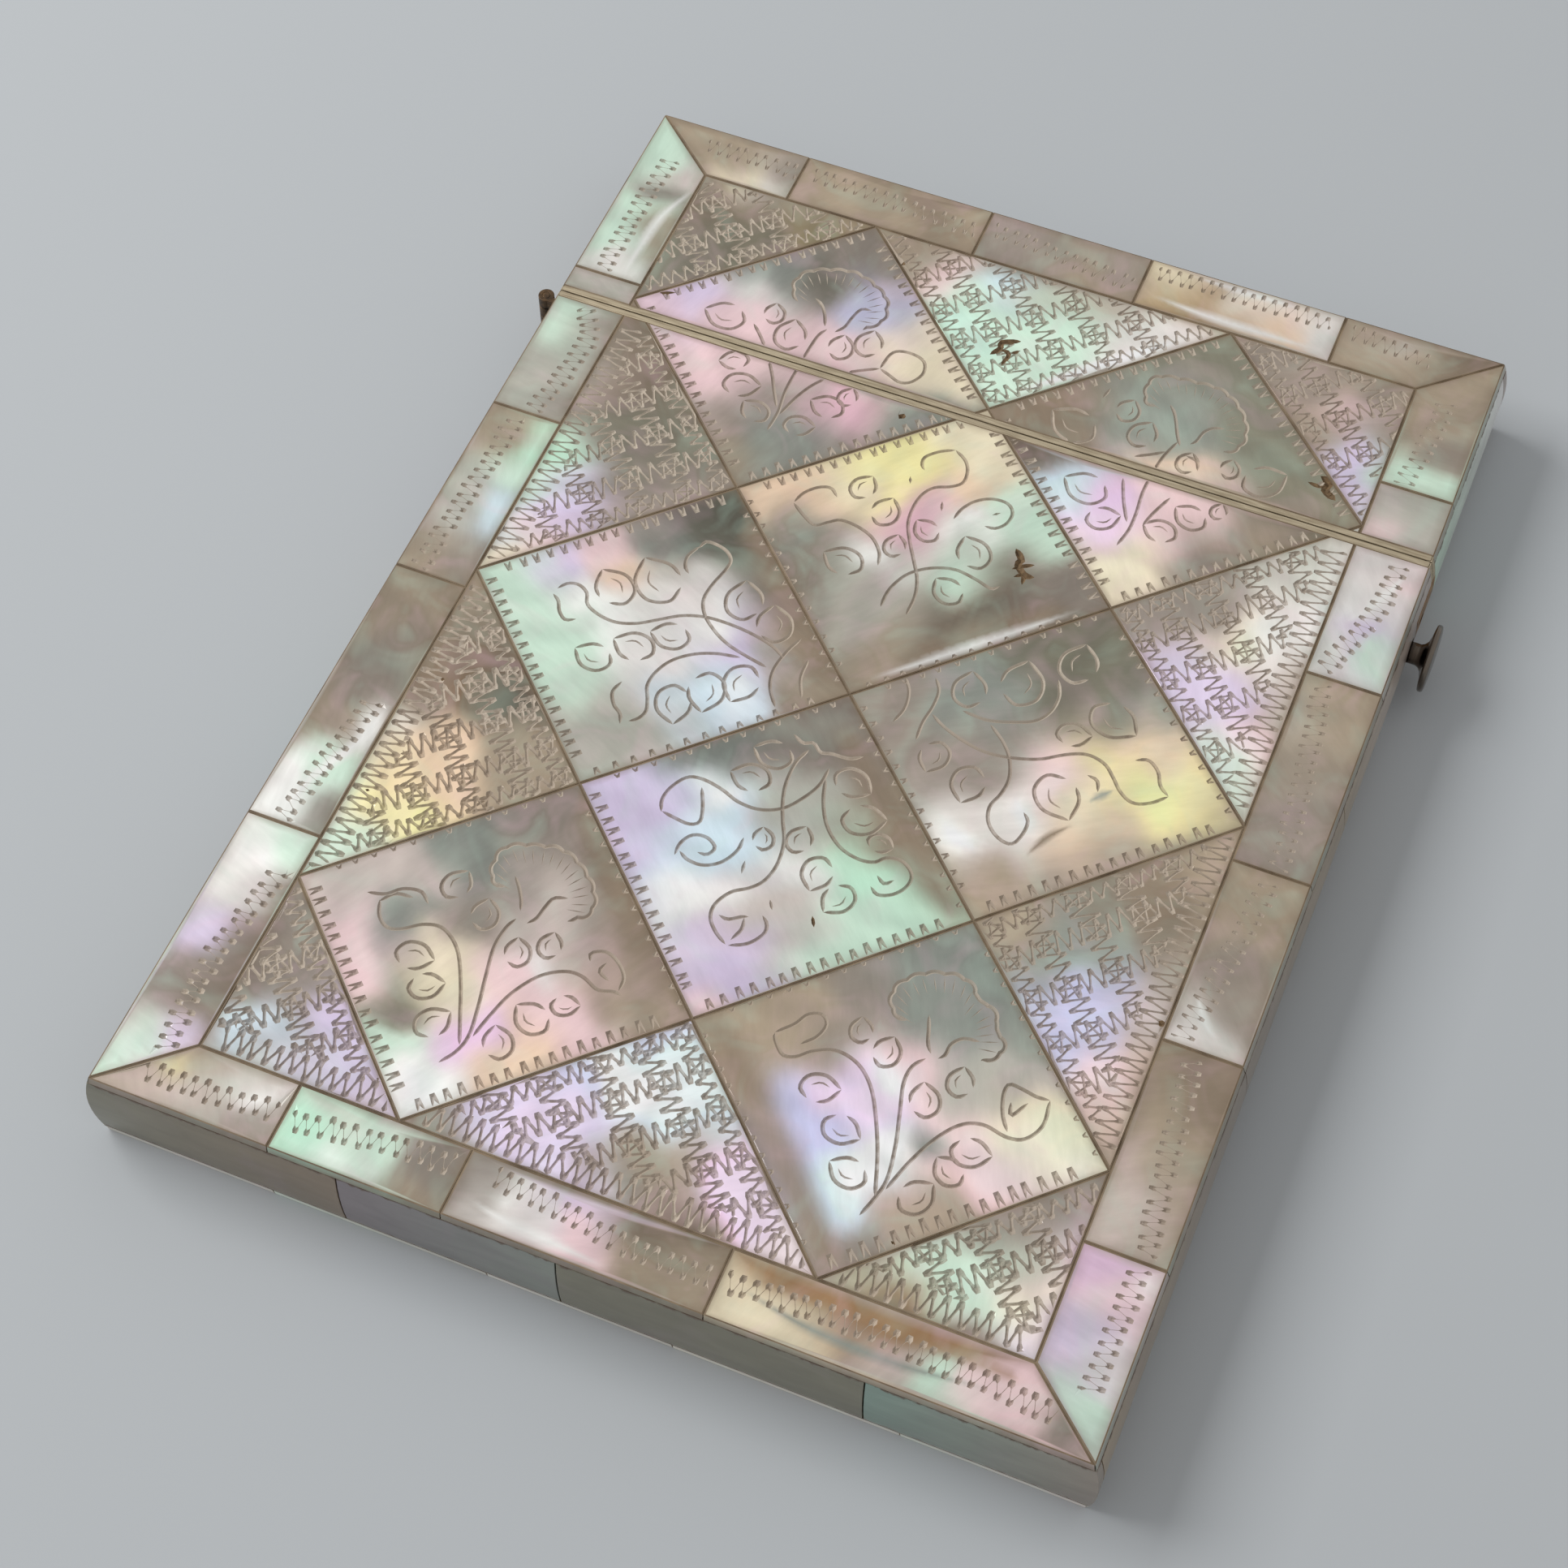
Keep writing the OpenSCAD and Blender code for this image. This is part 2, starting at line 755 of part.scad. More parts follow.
// Silk on the lid's two boards and its top board, above the liner's edge
module lid_lining() {
    y0 = sleeve_y + lining_gap;
    color(silk_red) {
        box([-lid_side_in, y0, lid_board_in], [lid_side_in, end_in, lid_board_in + lid_lining_t]);
        box(
            [-lid_side_in, y0, case_t - lid_board_in - lid_lining_t],
            [lid_side_in, end_in, case_t - lid_board_in]
        );
    }
}

// Section of one mitred rim strip: from the opening's corners out past the case, drawn in at the solder lines
module rim_section(x_in, z_in, side) {
    top = [half_w, case_t];
    corner = [x_in, case_t - z_in];
    far = corner + (top - corner) * rim_run;
    low_far = [far[0], case_t - far[1]];
    low_corner = [corner[0], z_in];
    flip = [[-1, 0], [0, 1]];
    outline = side == "front" ? [far, corner, flip * corner, flip * far]
        : side == "back" ? [low_far, flip * low_far, flip * low_corner, low_corner]
        : side == "right" ? [far, low_far, low_corner, corner]
        : [flip * far, flip * corner, flip * low_corner, flip * low_far];
    intersection() {
        swell(half_w, side_bulge, side_r);
        polygon(inset(outline, solder_line / 2));
    }
}

// A metal rim of four strips round the mouth
module rim(y0, y1, x_in, z_in) {
    for (side = ["front", "back", "left", "right"]) along_y(y0, y1) rim_section(x_in, z_in, side);
}

// The notches that the hinge's webs pass through, first = 0 for the body and 1 for the lid
module web_notches(y0, y1, first) {
    for (i = [first : 2 : knuckle_count - 1]) box(
        [-half_w - 2 * cut, y0 - cut, knuckle_z(i) - inlay_gap],
        [-carcass_x + inlay_gap, y1 + cut, knuckle_z(i) + knuckle_len + inlay_gap]
    );
}

module body_rim() {
    color(rim_metal) difference() {
        rim(body_top_y, body_top_y + rim_t, side_in, board_in);
        web_notches(body_top_y, body_top_y + rim_t, 0);
        tongue_recess();
    }
}

module lid_rim() {
    color(rim_metal) difference() {
        rim(lid_low_y - rim_t, lid_low_y, lid_side_in, lid_board_in);
        web_notches(lid_low_y - rim_t, lid_low_y, 1);
        tongue_root_cut();
    }
}

// Low end of a knuckle, counted from the back
function knuckle_z(i) = barrel_inset + i * (knuckle_len + knuckle_gap);

// Rivets along X into a side board, at set shares of a length that starts at y0
module rivet_rods(s, y0, length, r) {
    x0 = s > 0 ? carcass_x - rivet_len : -carcass_x - leaf_t;
    x1 = s > 0 ? carcass_x + tongue_t : -carcass_x + rivet_len;
    for (share = rivet_shares) rod_x(x0, x1, y0 + share * length, mid_z, r);
}

// Webs that come out through the rim between y0 and y1, and the knuckles on them, first = 0 body or 1 lid
module hinge_webs(y0, y1, first) {
    for (i = [first : 2 : knuckle_count - 1]) {
        box([hinge_x, y0, knuckle_z(i)], [-carcass_x, y1, knuckle_z(i) + knuckle_len]);
        translate([hinge_x, split_y, knuckle_z(i)]) cylinder(h = knuckle_len, r = knuckle_r);
    }
}

// A hinge leaf under the side veneer, from y0 to y1, with its webs between w0 and w1
module hinge_leaf(y0, y1, w0, w1, first, bore_r) {
    difference() {
        union() {
            box([-carcass_x - leaf_t, y0, barrel_inset], [-carcass_x, y1, case_t - barrel_inset]);
            hinge_webs(w0, w1, first);
        }
        translate([hinge_x, split_y, -cut]) cylinder(h = case_t + 2 * cut, r = bore_r);
    }
}

module body_hinge_leaf() {
    color(brass_gold) difference() {
        hinge_leaf(body_top_y - leaf_len, body_top_y, body_top_y, body_top_y + rim_t, 0, pin_r);
        rivet_rods(-1, body_top_y, -leaf_len, rivet_r);
    }
}

module lid_hinge_leaf() {
    color(brass_gold) difference() {
        hinge_leaf(lid_low_y, lid_low_y + leaf_len, lid_low_y - rim_t, lid_low_y, 1, pin_r + pin_gap);
        rivet_rods(-1, lid_low_y, leaf_len, rivet_r);
    }
}

module hinge_pin() {
    color(brass_gold) translate([hinge_x, split_y, barrel_inset]) cylinder(h = barrel_len, r = pin_r);
}

module body_hinge_rivets() {
    color(brass_gold) rivet_rods(-1, body_top_y, -leaf_len, rivet_r);
}

module lid_hinge_rivets() {
    color(brass_gold) rivet_rods(-1, lid_low_y, leaf_len, rivet_r);
}

// Leaf spring that rocks at its rivet and carries the button and the nib
module catch_spring() {
    color(steel_grey) difference() {
        box(
            [spring_in, spring_foot_y, mid_z - spring_w / 2],
            [spring_out, spring_end_y, mid_z + spring_w / 2]
        );
        rod_x(spring_in - cut, spring_out + cut, spring_pivot_y, mid_z, spring_rivet_r + foot_gap);
        for (y = [button_y, nib_y]) rod_x(spring_in - cut, spring_out + cut, y, mid_z, spring_peg_r);
    }
}

module catch_nib() {
    color(steel_grey) {
        rod_x(spring_in, spring_out, nib_y, mid_z, spring_peg_r);
        rod_x(spring_out, nib_tip_x, nib_y, mid_z, nib_r);
    }
}

// Spool-shaped button: a neck, a flare and a thin flat head
module push_button() {
    head_low = tongue_out + button_out - button_head_t - spring_out;
    color(steel_grey) {
        rod_x(spring_in, spring_out, button_y, mid_z, spring_peg_r);
        translate([spring_out, button_y, mid_z]) rotate([0, 90, 0]) rotate_extrude() polygon([
            [0, 0],
            [button_neck_r, 0],
            [button_neck_r, head_low - button_flare],
            [button_neck_r + button_flare, head_low],
            [button_head_r, head_low + button_head_t * head_edge[0]],
            [button_head_r, head_low + button_head_t * head_edge[1]],
            [button_head_r * head_flat, head_low + button_head_t],
            [0, head_low + button_head_t]
        ]);
    }
}

module catch_spring_rivet() {
    color(brass_gold) {
        rod_x(spring_in - foot_gap, spring_rivet_end_x, spring_pivot_y, mid_z, spring_rivet_r);
        rod_x(side_in + rivet_cover, spring_in - foot_gap, spring_pivot_y, mid_z, spring_rivet_head_r);
    }
}

// Tongue on the lid: a root under the veneer, a step through the rim and a leg down over the body
module catch_tongue() {
    z0 = mid_z - tongue_w / 2;
    z1 = mid_z + tongue_w / 2;
    color(brass_gold) intersection() {
        difference() {
            union() {
                box([carcass_x, lid_low_y - rim_t, z0], [carcass_x + tongue_t, lid_low_y + tongue_root, z1]);
                box([carcass_x, lid_low_y - rim_t, z0], [half_w + cut, lid_low_y, z1]);
                box([tongue_in, split_y - tongue_len, z0], [half_w + cut, lid_low_y, z1]);
            }
            rod_x(tongue_in - cut, half_w + 2 * cut, nib_y, mid_z, nib_hole_r);
            rivet_rods(1, lid_low_y, tongue_root, tongue_rivet_r);
        }
        envelope();
    }
}

module tongue_rivets() {
    color(brass_gold) rivet_rods(1, lid_low_y, tongue_root, tongue_rivet_r);
}

body_front_board();
body_back_board();
body_left_board();
body_right_board();
body_bottom_board();
lid_front_board();
lid_back_board();
lid_left_board();
lid_right_board();
lid_top_board();
liner_front();
liner_back();
liner_left();
liner_right();
liner_floor();
lid_lining();
body_rim();
lid_rim();
body_left_side_veneer();
body_right_side_veneer();
body_end_veneer();
lid_left_side_veneer();
lid_right_side_veneer();
lid_end_veneer();
body_front_left_border();
body_front_right_border();
body_front_bottom_border();
lid_front_left_border();
lid_front_right_border();
lid_front_top_border();
front_lozenge_upper_left();
front_lozenge_upper_right();
front_lozenge_upper_middle();
front_lozenge_middle_left();
front_lozenge_middle_right();
front_lozenge_lower_middle();
front_lozenge_lower_left();
front_lozenge_lower_right();
lid_front_lozenges();
body_front_triangles();
lid_front_triangles();
body_back_border();
lid_back_border();
body_back_lozenges();
lid_back_lozenges();
body_back_triangles();
lid_back_triangles();
body_hinge_leaf();
lid_hinge_leaf();
hinge_pin();
body_hinge_rivets();
lid_hinge_rivets();
catch_spring();
catch_nib();
push_button();
catch_spring_rivet();
catch_tongue();
tongue_rivets();
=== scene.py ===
"""Looks of a visiting-card case veneered in engraved mother-of-pearl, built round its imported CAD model."""

import json
import math

import bmesh
import bpy
import numpy as np
from mathutils import Matrix, Vector, geometry


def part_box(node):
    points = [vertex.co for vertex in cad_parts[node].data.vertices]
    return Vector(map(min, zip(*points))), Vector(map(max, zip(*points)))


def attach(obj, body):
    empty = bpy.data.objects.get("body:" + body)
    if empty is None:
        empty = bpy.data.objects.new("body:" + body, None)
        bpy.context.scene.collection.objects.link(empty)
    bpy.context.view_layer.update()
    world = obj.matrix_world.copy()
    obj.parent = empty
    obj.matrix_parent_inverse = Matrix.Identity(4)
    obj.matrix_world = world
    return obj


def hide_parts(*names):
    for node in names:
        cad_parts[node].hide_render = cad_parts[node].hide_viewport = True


bl_info = {
    "name": "Mother-of-pearl card case",
    "version": (1, 0, 0),
    "blender": (4, 5, 0),
    "location": "View3D > Sidebar > Card case",
    "description": "Builds the engraved shell plaques, fittings, lining and stage of a card case",
    "category": "Object",
}

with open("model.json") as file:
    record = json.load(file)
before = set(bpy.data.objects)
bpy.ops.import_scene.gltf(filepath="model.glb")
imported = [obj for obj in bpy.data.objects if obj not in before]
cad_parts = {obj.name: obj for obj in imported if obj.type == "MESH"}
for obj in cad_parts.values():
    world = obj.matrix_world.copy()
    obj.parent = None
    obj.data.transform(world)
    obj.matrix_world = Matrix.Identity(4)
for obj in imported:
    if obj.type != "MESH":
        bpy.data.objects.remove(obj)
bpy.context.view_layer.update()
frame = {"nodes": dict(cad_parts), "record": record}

MM = 0.001
BODY_OF = {
    node: body for body, nodes in frame["record"]["behaviour"]["bodies"].items() for node in nodes
}
SLOT_OF = {part["node"]: part["material_slot"] for part in frame["record"]["subparts"]}


def corners_mm(node):
    """Lowest and highest corner of a CAD node, in millimetres."""
    low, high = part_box(node)
    return np.array(low) / MM, np.array(high) / MM


# Levels and lines of the case in millimetres, most of them read from the frame
CASE_T = corners_mm("body_front_triangles")[1][2]
SHELL_T = corners_mm("body_back_triangles")[1][2]
GLUE_LINE = 0.1
FIELD_X = -corners_mm("body_front_triangles")[0][0] + GLUE_LINE / 2
FIELD_Y = -corners_mm("body_front_triangles")[0][1] + GLUE_LINE / 2
BODY_TOP = corners_mm("body_front_board")[1][1]
LID_LOW = corners_mm("lid_front_board")[0][1]
HALF_W = 39.0
HALF_H = 52.9
PITCH_X = FIELD_X / 2
PITCH_Y = FIELD_Y / 3

# Nodes of shell plaques, which engraved pieces replace
FRONT_NODES = [
    *(
        "front_lozenge_" + place
        for place in (
            "upper_left", "upper_right", "upper_middle", "middle_left", "middle_right", "lower_middle",
            "lower_left", "lower_right",
        )
    ),
    "lid_front_lozenges", "body_front_triangles", "lid_front_triangles", "body_front_left_border",
    "body_front_right_border", "body_front_bottom_border", "lid_front_left_border",
    "lid_front_right_border", "lid_front_top_border",
]
BACK_NODES = [
    "body_back_lozenges", "lid_back_lozenges", "body_back_triangles", "lid_back_triangles",
    "body_back_border", "lid_back_border",
]

# Tones of the shell, as sRGB
TONES = {
    "umber": "#7A6853",
    "brown": "#8D7B67",
    "olive": "#84806D",
    "gold": "#9C8C66",
    "greige": "#9C9084",
    "slate": "#8F958C",
    "teal": "#8FA89C",
    "dusk": "#8A8085",
    "tan": "#AB9A83",
    "rust": "#A17C55",
    "amber": "#B99A6E",
    "shell": "#C6B9B1",
    "grey": "#B7B5A9",
    "pearl": "#DAD5D0",
    "white": "#ECEBE7",
    "mint": "#C6E0CC",
    "bright": "#BFEBD0",
    "blue": "#CBE0EC",
    "sky": "#B9BBDB",
    "lilac": "#CEC0DC",
    "mauve": "#E6C2E2",
    "pink": "#E7C7C9",
    "rose": "#DFB2C0",
    "peach": "#E8CAAD",
    "cream": "#E6DABC",
    "yellow": "#F0E4A2",
}

# Soft clouds of tone in the front's plaques: tone, place from the case's top left corner, and reach,
# all in mm here and in the lists below. A cloud belongs to the plaque that its centre lies in. The
# clouds are partly the shell's own tone and partly painted sheen: the white cores and the palest
# clouds are painted highlights, where the shell threw back light
CLOUDS = [
    # Upper left corner triangle, top triangle, upper right corner triangle
    ("brown", 9, 8, 5), ("gold", 18, 9, 4), ("olive", 8, 15, 4), ("olive", 13, 11, 3),
    ("tan", 27, 7.5, 3), ("pink", 30, 9, 2.5), ("mint", 35, 10, 3), ("blue", 35.5, 7.3, 2),
    ("bright", 34, 13, 2), ("mint", 41, 12, 3.5), ("pearl", 48, 8, 3), ("mint", 39, 18, 2),
    ("greige", 60, 8, 4), ("pink", 66, 10, 2.3), ("greige", 69.5, 8, 3), ("lilac", 70, 15.5, 2.3),
    ("tan", 63.5, 11.5, 3),
    # Upper left lozenge
    ("greige", 22.5, 8, 4), ("slate", 16, 13.5, 2.5), ("pearl", 15.5, 16.2, 2), ("lilac", 12.3, 19, 2.2),
    ("pink", 16.5, 20.5, 3), ("olive", 21.5, 13.5, 2.3), ("sky", 26, 15, 2.2), ("pink", 26, 19.5, 3.2),
    ("cream", 32, 18.5, 3.5), ("pink", 16, 26.5, 4), ("greige", 22, 27, 2), ("rose", 27.5, 25, 2.4),
    ("slate", 24, 31.5, 3.6), ("tan", 20.5, 35, 3), ("greige", 30, 29.5, 2.5),
    # Upper right lozenge
    ("olive", 54.5, 9.5, 5), ("slate", 54, 15.5, 4), ("brown", 43.5, 19, 3.5), ("olive", 64.5, 19.5, 3.5),
    ("peach", 56, 21.6, 1.8), ("brown", 43.5, 25, 2), ("blue", 47, 27, 2), ("mauve", 51.5, 27.3, 2.2),
    ("pink", 57, 26, 3), ("cream", 55, 31.5, 2.5), ("tan", 65, 26.5, 3), ("greige", 61, 30, 2.5),
    ("olive", 60, 15, 3),
    # Upper middle lozenge
    ("slate", 35, 25, 2.5), ("cream", 40, 25.5, 2.2), ("yellow", 33.5, 30.5, 3), ("peach", 27.5, 36, 3),
    ("rose", 38, 34.5, 2.2), ("peach", 41, 30, 1.8), ("mint", 46, 31.5, 2.5), ("slate", 29, 39.7, 2.2),
    ("grey", 35, 45, 4), ("mint", 42, 38.5, 1.8), ("brown", 47, 42.3, 4), ("greige", 51.5, 37.5, 3),
    ("tan", 40, 49, 2.5), ("white", 36, 40, 1.5), ("cream", 31, 33, 2), ("white", 42.5, 33.5, 1.3),
    # Middle left lozenge
    ("olive", 22, 41, 4), ("slate", 20, 43.7, 2.2), ("brown", 30.5, 44.5, 4), ("tan", 34, 50, 2),
    ("pink", 16, 46.5, 2.2), ("peach", 18, 48.3, 1.5), ("lilac", 12.8, 49, 1.8), ("pearl", 22.5, 48.5, 2.2),
    ("mint", 11, 54.5, 3), ("white", 15, 52, 2), ("lilac", 28.5, 53, 2.2), ("blue", 28, 56.8, 2.5),
    ("grey", 23, 63.5, 3.5), ("tan", 37.5, 52.3, 2), ("mint", 17, 57.5, 2.5), ("pearl", 24, 55, 2.5),
    ("white", 25.5, 50.6, 1.6),
    ("white", 19, 54.5, 1.8), ("white", 29.5, 56.5, 1.3),
    # Middle right lozenge
    ("olive", 55.5, 43.5, 4), ("greige", 43, 53, 3), ("greige", 50, 55.5, 3), ("slate", 62, 45, 2.2),
    ("peach", 63, 48, 2), ("mint", 67.5, 48.7, 2), ("yellow", 63.5, 53, 3), ("yellow", 64.5, 55.3, 1.8),
    ("pink", 57, 55, 2), ("pearl", 54.5, 59.3, 2.8), ("peach", 61, 58.7, 2.5), ("tan", 55, 65.8, 2.6),
    ("slate", 48.5, 49.5, 2.5), ("white", 52, 63.3, 1.2), ("white", 55, 57.5, 1.5), ("cream", 60, 56.3, 2),
    # Lower middle lozenge
    ("greige", 39, 57, 3.6), ("slate", 31.5, 61, 2.2), ("blue", 34.5, 69, 2.8), ("bright", 47, 68, 2.8),
    ("tan", 48, 63.5, 3), ("lilac", 28, 70.5, 2.5), ("shell", 40, 73, 2.5), ("lilac", 39.5, 79.7, 2.2),
    ("pink", 39, 82.5, 1.5), ("mint", 48, 72.5, 2.2), ("grey", 39, 65, 2.6), ("white", 36.5, 74, 2.2),
    ("white", 41, 69.5, 2), ("white", 33, 66.5, 1.4),
    # Lower left lozenge
    ("greige", 22.5, 72, 4), ("slate", 17, 76, 2.4), ("brown", 30.5, 77.5, 3), ("shell", 12.5, 81, 2.6),
    ("slate", 15.5, 85.5, 1.8), ("shell", 25.5, 80, 2.6), ("pink", 13.5, 88, 1.8), ("olive", 18.5, 91, 1.5),
    ("mint", 20, 95, 1.5), ("mauve", 23.5, 92, 1.5), ("white", 23.7, 96.5, 1.8), ("white", 27.5, 84.5, 1.2),
    ("pink", 31, 88.5, 3), ("peach", 28.5, 92.5, 2), ("tan", 35, 84, 3), ("cream", 20.5, 88.5, 2.2),
    ("pink", 26, 86, 2), ("greige", 21, 83, 2),
    # Lower right lozenge
    ("slate", 56, 75, 3.8), ("greige", 51, 78.5, 2.4), ("tan", 43.5, 82.5, 3),
    ("pink", 55.5, 83, 2.2), ("mauve", 53, 85.6, 1.5),
    ("sky", 51.5, 89.3, 2.4), ("cream", 66.5, 82.5, 2.4), ("pink", 63, 88, 3), ("slate", 57.7, 88, 1.1),
    ("blue", 54.3, 92.4, 1.8), ("greige", 58, 97.5, 2), ("slate", 65, 79.5, 2), ("grey", 60, 82, 2),
    ("white", 54, 84.3, 1.2), ("white", 56, 90, 1.3),
    # Left triangles
    ("brown", 10, 27, 5), ("olive", 14, 35.5, 3), ("greige", 18, 31, 3), ("lilac", 10.5, 44, 2.4),
    ("pink", 10, 48, 2), ("cream", 7.3, 50, 2), ("greige", 17, 40, 3),
    ("brown", 10, 60.5, 4), ("rust", 9.5, 62.5, 2), ("umber", 14.5, 64, 3), ("peach", 12, 71.5, 3),
    ("yellow", 11, 75.7, 2.6), ("mint", 8, 80, 2.2), ("tan", 18.5, 69, 3),
    # Right triangles
    ("grey", 66, 27, 3.5), ("greige", 62, 32.5, 3), ("lilac", 66, 42, 3.6), ("cream", 66, 36.5, 2),
    ("pink", 70, 45, 2.5), ("greige", 58.5, 37.5, 2.4), ("pearl", 69, 35, 2.4),
    ("greige", 63, 59.5, 5), ("slate", 63, 68, 2.8), ("sky", 66, 73.5, 2.4), ("pink", 70, 77.5, 2.6),
    ("brown", 69, 62, 3), ("tan", 58.5, 66.5, 2),
    # Lower left corner, bottom triangle, lower right corner
    ("greige", 9.5, 90, 4), ("lilac", 15, 95, 2.5), ("blue", 8.5, 98, 2), ("lilac", 18.5, 97.5, 3),
    ("sky", 38, 86, 2.5), ("blue", 39, 90, 3), ("lilac", 32.5, 96, 3), ("tan", 41, 96, 2.5),
    ("white", 36, 91, 1.5),
    ("mauve", 48.5, 96.3, 2), ("pink", 51.5, 98.5, 2), ("sky", 33, 92, 2), ("greige", 40, 99, 2),
    ("greige", 67.5, 89, 4), ("tan", 62.5, 92.5, 2.6), ("mint", 65.5, 96.8, 3), ("cream", 70.5, 96, 2),
    # Left border
    ("mint", 1.4, 4, 3), ("shell", 3.6, 6, 2), ("greige", 3.6, 9.5, 1.2), ("mint", 1.5, 13.5, 3),
    ("pearl", 2.6, 17, 2), ("tan", 5.6, 13.5, 1.6), ("grey", 3, 21, 3),
    ("grey", 2, 31, 4), ("greige", 5, 25, 2.2), ("greige", 5, 33, 2), ("mint", 2, 26, 2),
    ("bright", 5.6, 40, 2), ("mint", 5.6, 44, 2), ("blue", 5.4, 47, 2), ("tan", 2.6, 39, 2.4),
    ("grey", 2.6, 46.5, 3),
    ("tan", 2, 53, 3), ("greige", 5, 52, 3),
    ("tan", 3, 58, 5), ("greige", 3, 64, 3.2), ("white", 5.2, 69.6, 1.6), ("tan", 1.6, 71, 2.2),
    ("mint", 4.6, 75.5, 2), ("white", 2, 77, 2), ("greige", 5.4, 79, 1.2),
    ("mint", 5.8, 82.6, 1.6), ("white", 3.6, 84, 1.5), ("pearl", 2, 87, 2.4), ("brown", 5.4, 91, 3),
    ("brown", 5.4, 96.5, 3), ("lilac", 1.5, 91, 2), ("greige", 2.8, 96, 2.6), ("lilac", 4.5, 101, 2),
    ("mint", 1.5, 102, 2.6), ("yellow", 6, 102.5, 1),
    # Right border
    ("tan", 75, 3, 4), ("tan", 74, 9, 3), ("greige", 76, 11, 2.6), ("mint", 73, 15, 1.8),
    ("mint", 76.6, 15.5, 1.2),
    ("grey", 75, 19, 4), ("pink", 73, 21, 1.4), ("pearl", 75, 27, 4), ("pink", 76.5, 26, 1.6),
    ("white", 73.5, 29, 2), ("mint", 76.8, 34, 1.2), ("lilac", 75, 32, 2), ("pearl", 72.6, 35, 2),
    ("tan", 75, 42, 5), ("greige", 75, 50, 5), ("grey", 72.6, 42, 2), ("tan", 75, 60, 5),
    ("greige", 75, 66, 3), ("pearl", 74, 70.6, 1.8), ("brown", 76, 76, 3), ("tan", 74, 78.5, 4),
    ("shell", 74, 86, 3), ("tan", 76.4, 85, 3), ("mauve", 73.4, 92, 2), ("pink", 75, 94, 3),
    ("lilac", 73.6, 97.6, 2.6), ("pearl", 76, 98, 2), ("mint", 75.6, 101.5, 1.6), ("white", 76.8, 93, 1.5),
    # Top border
    ("tan", 6, 1.5, 3), ("cream", 10, 4.4, 2), ("greige", 12, 1.5, 2.6), ("pearl", 12.2, 4.3, 1.5),
    ("tan", 17, 2.5, 4), ("tan", 24, 4.4, 3), ("brown", 26, 2, 3), ("tan", 30, 1, 2),
    ("greige", 36, 2, 4), ("tan", 42, 4.5, 3), ("greige", 44, 1.5, 2.4),
    ("cream", 50, 0.9, 2), ("amber", 51.5, 3, 2.2), ("peach", 58, 3, 2), ("pearl", 57, 1, 2),
    ("pearl", 62.5, 2, 1.6),
    ("tan", 68, 2.5, 5), ("shell", 68.6, 1, 2), ("brown", 75, 2, 2),
    # Bottom border
    ("tan", 6, 102, 3), ("shell", 8, 104.5, 3), ("white", 12.6, 102.6, 1.2), ("greige", 12, 104.5, 2),
    ("bright", 17, 104, 2.6), ("shell", 19, 101, 2), ("mint", 21, 103, 2), ("greige", 26, 102, 2.2),
    ("white", 20, 104.8, 1.2), ("tan", 26.5, 104.5, 1.6),
    ("greige", 30, 103, 2), ("lilac", 37, 101.3, 2), ("brown", 45, 100.8, 2), ("pink", 38, 104.6, 2),
    ("pearl", 33, 104, 2), ("tan", 45, 104, 3), ("white", 31.6, 102.4, 1),
    ("rust", 55, 100.9, 2), ("rust", 62, 101, 2), ("brown", 67, 101.3, 1.6), ("cream", 53, 104.6, 2),
    ("shell", 62, 104.7, 2), ("mint", 66, 104.6, 1.6), ("pink", 70, 103.6, 1.8), ("greige", 73.4, 104.8, 1),
]

# Painted sheen: factors on the colour of some plaques, by place in the lattice, for how much more
# or less light they threw back than their tones say
PAINTED_SHEEN_LEVELS = {
    (0, 0): 0.8, (2, 0): 1.2, (3, 1): 1.15, (4, 2): 1.3, (3, 3): 1.15,
    (4, 4): 1.25, (3, 5): 1.2, (2, 6): 1.35, (4, 6): 1.2,
}
# The darkest and the palest that shell is painted, as linear values
DARKEST = 0.02
PALEST = 0.92

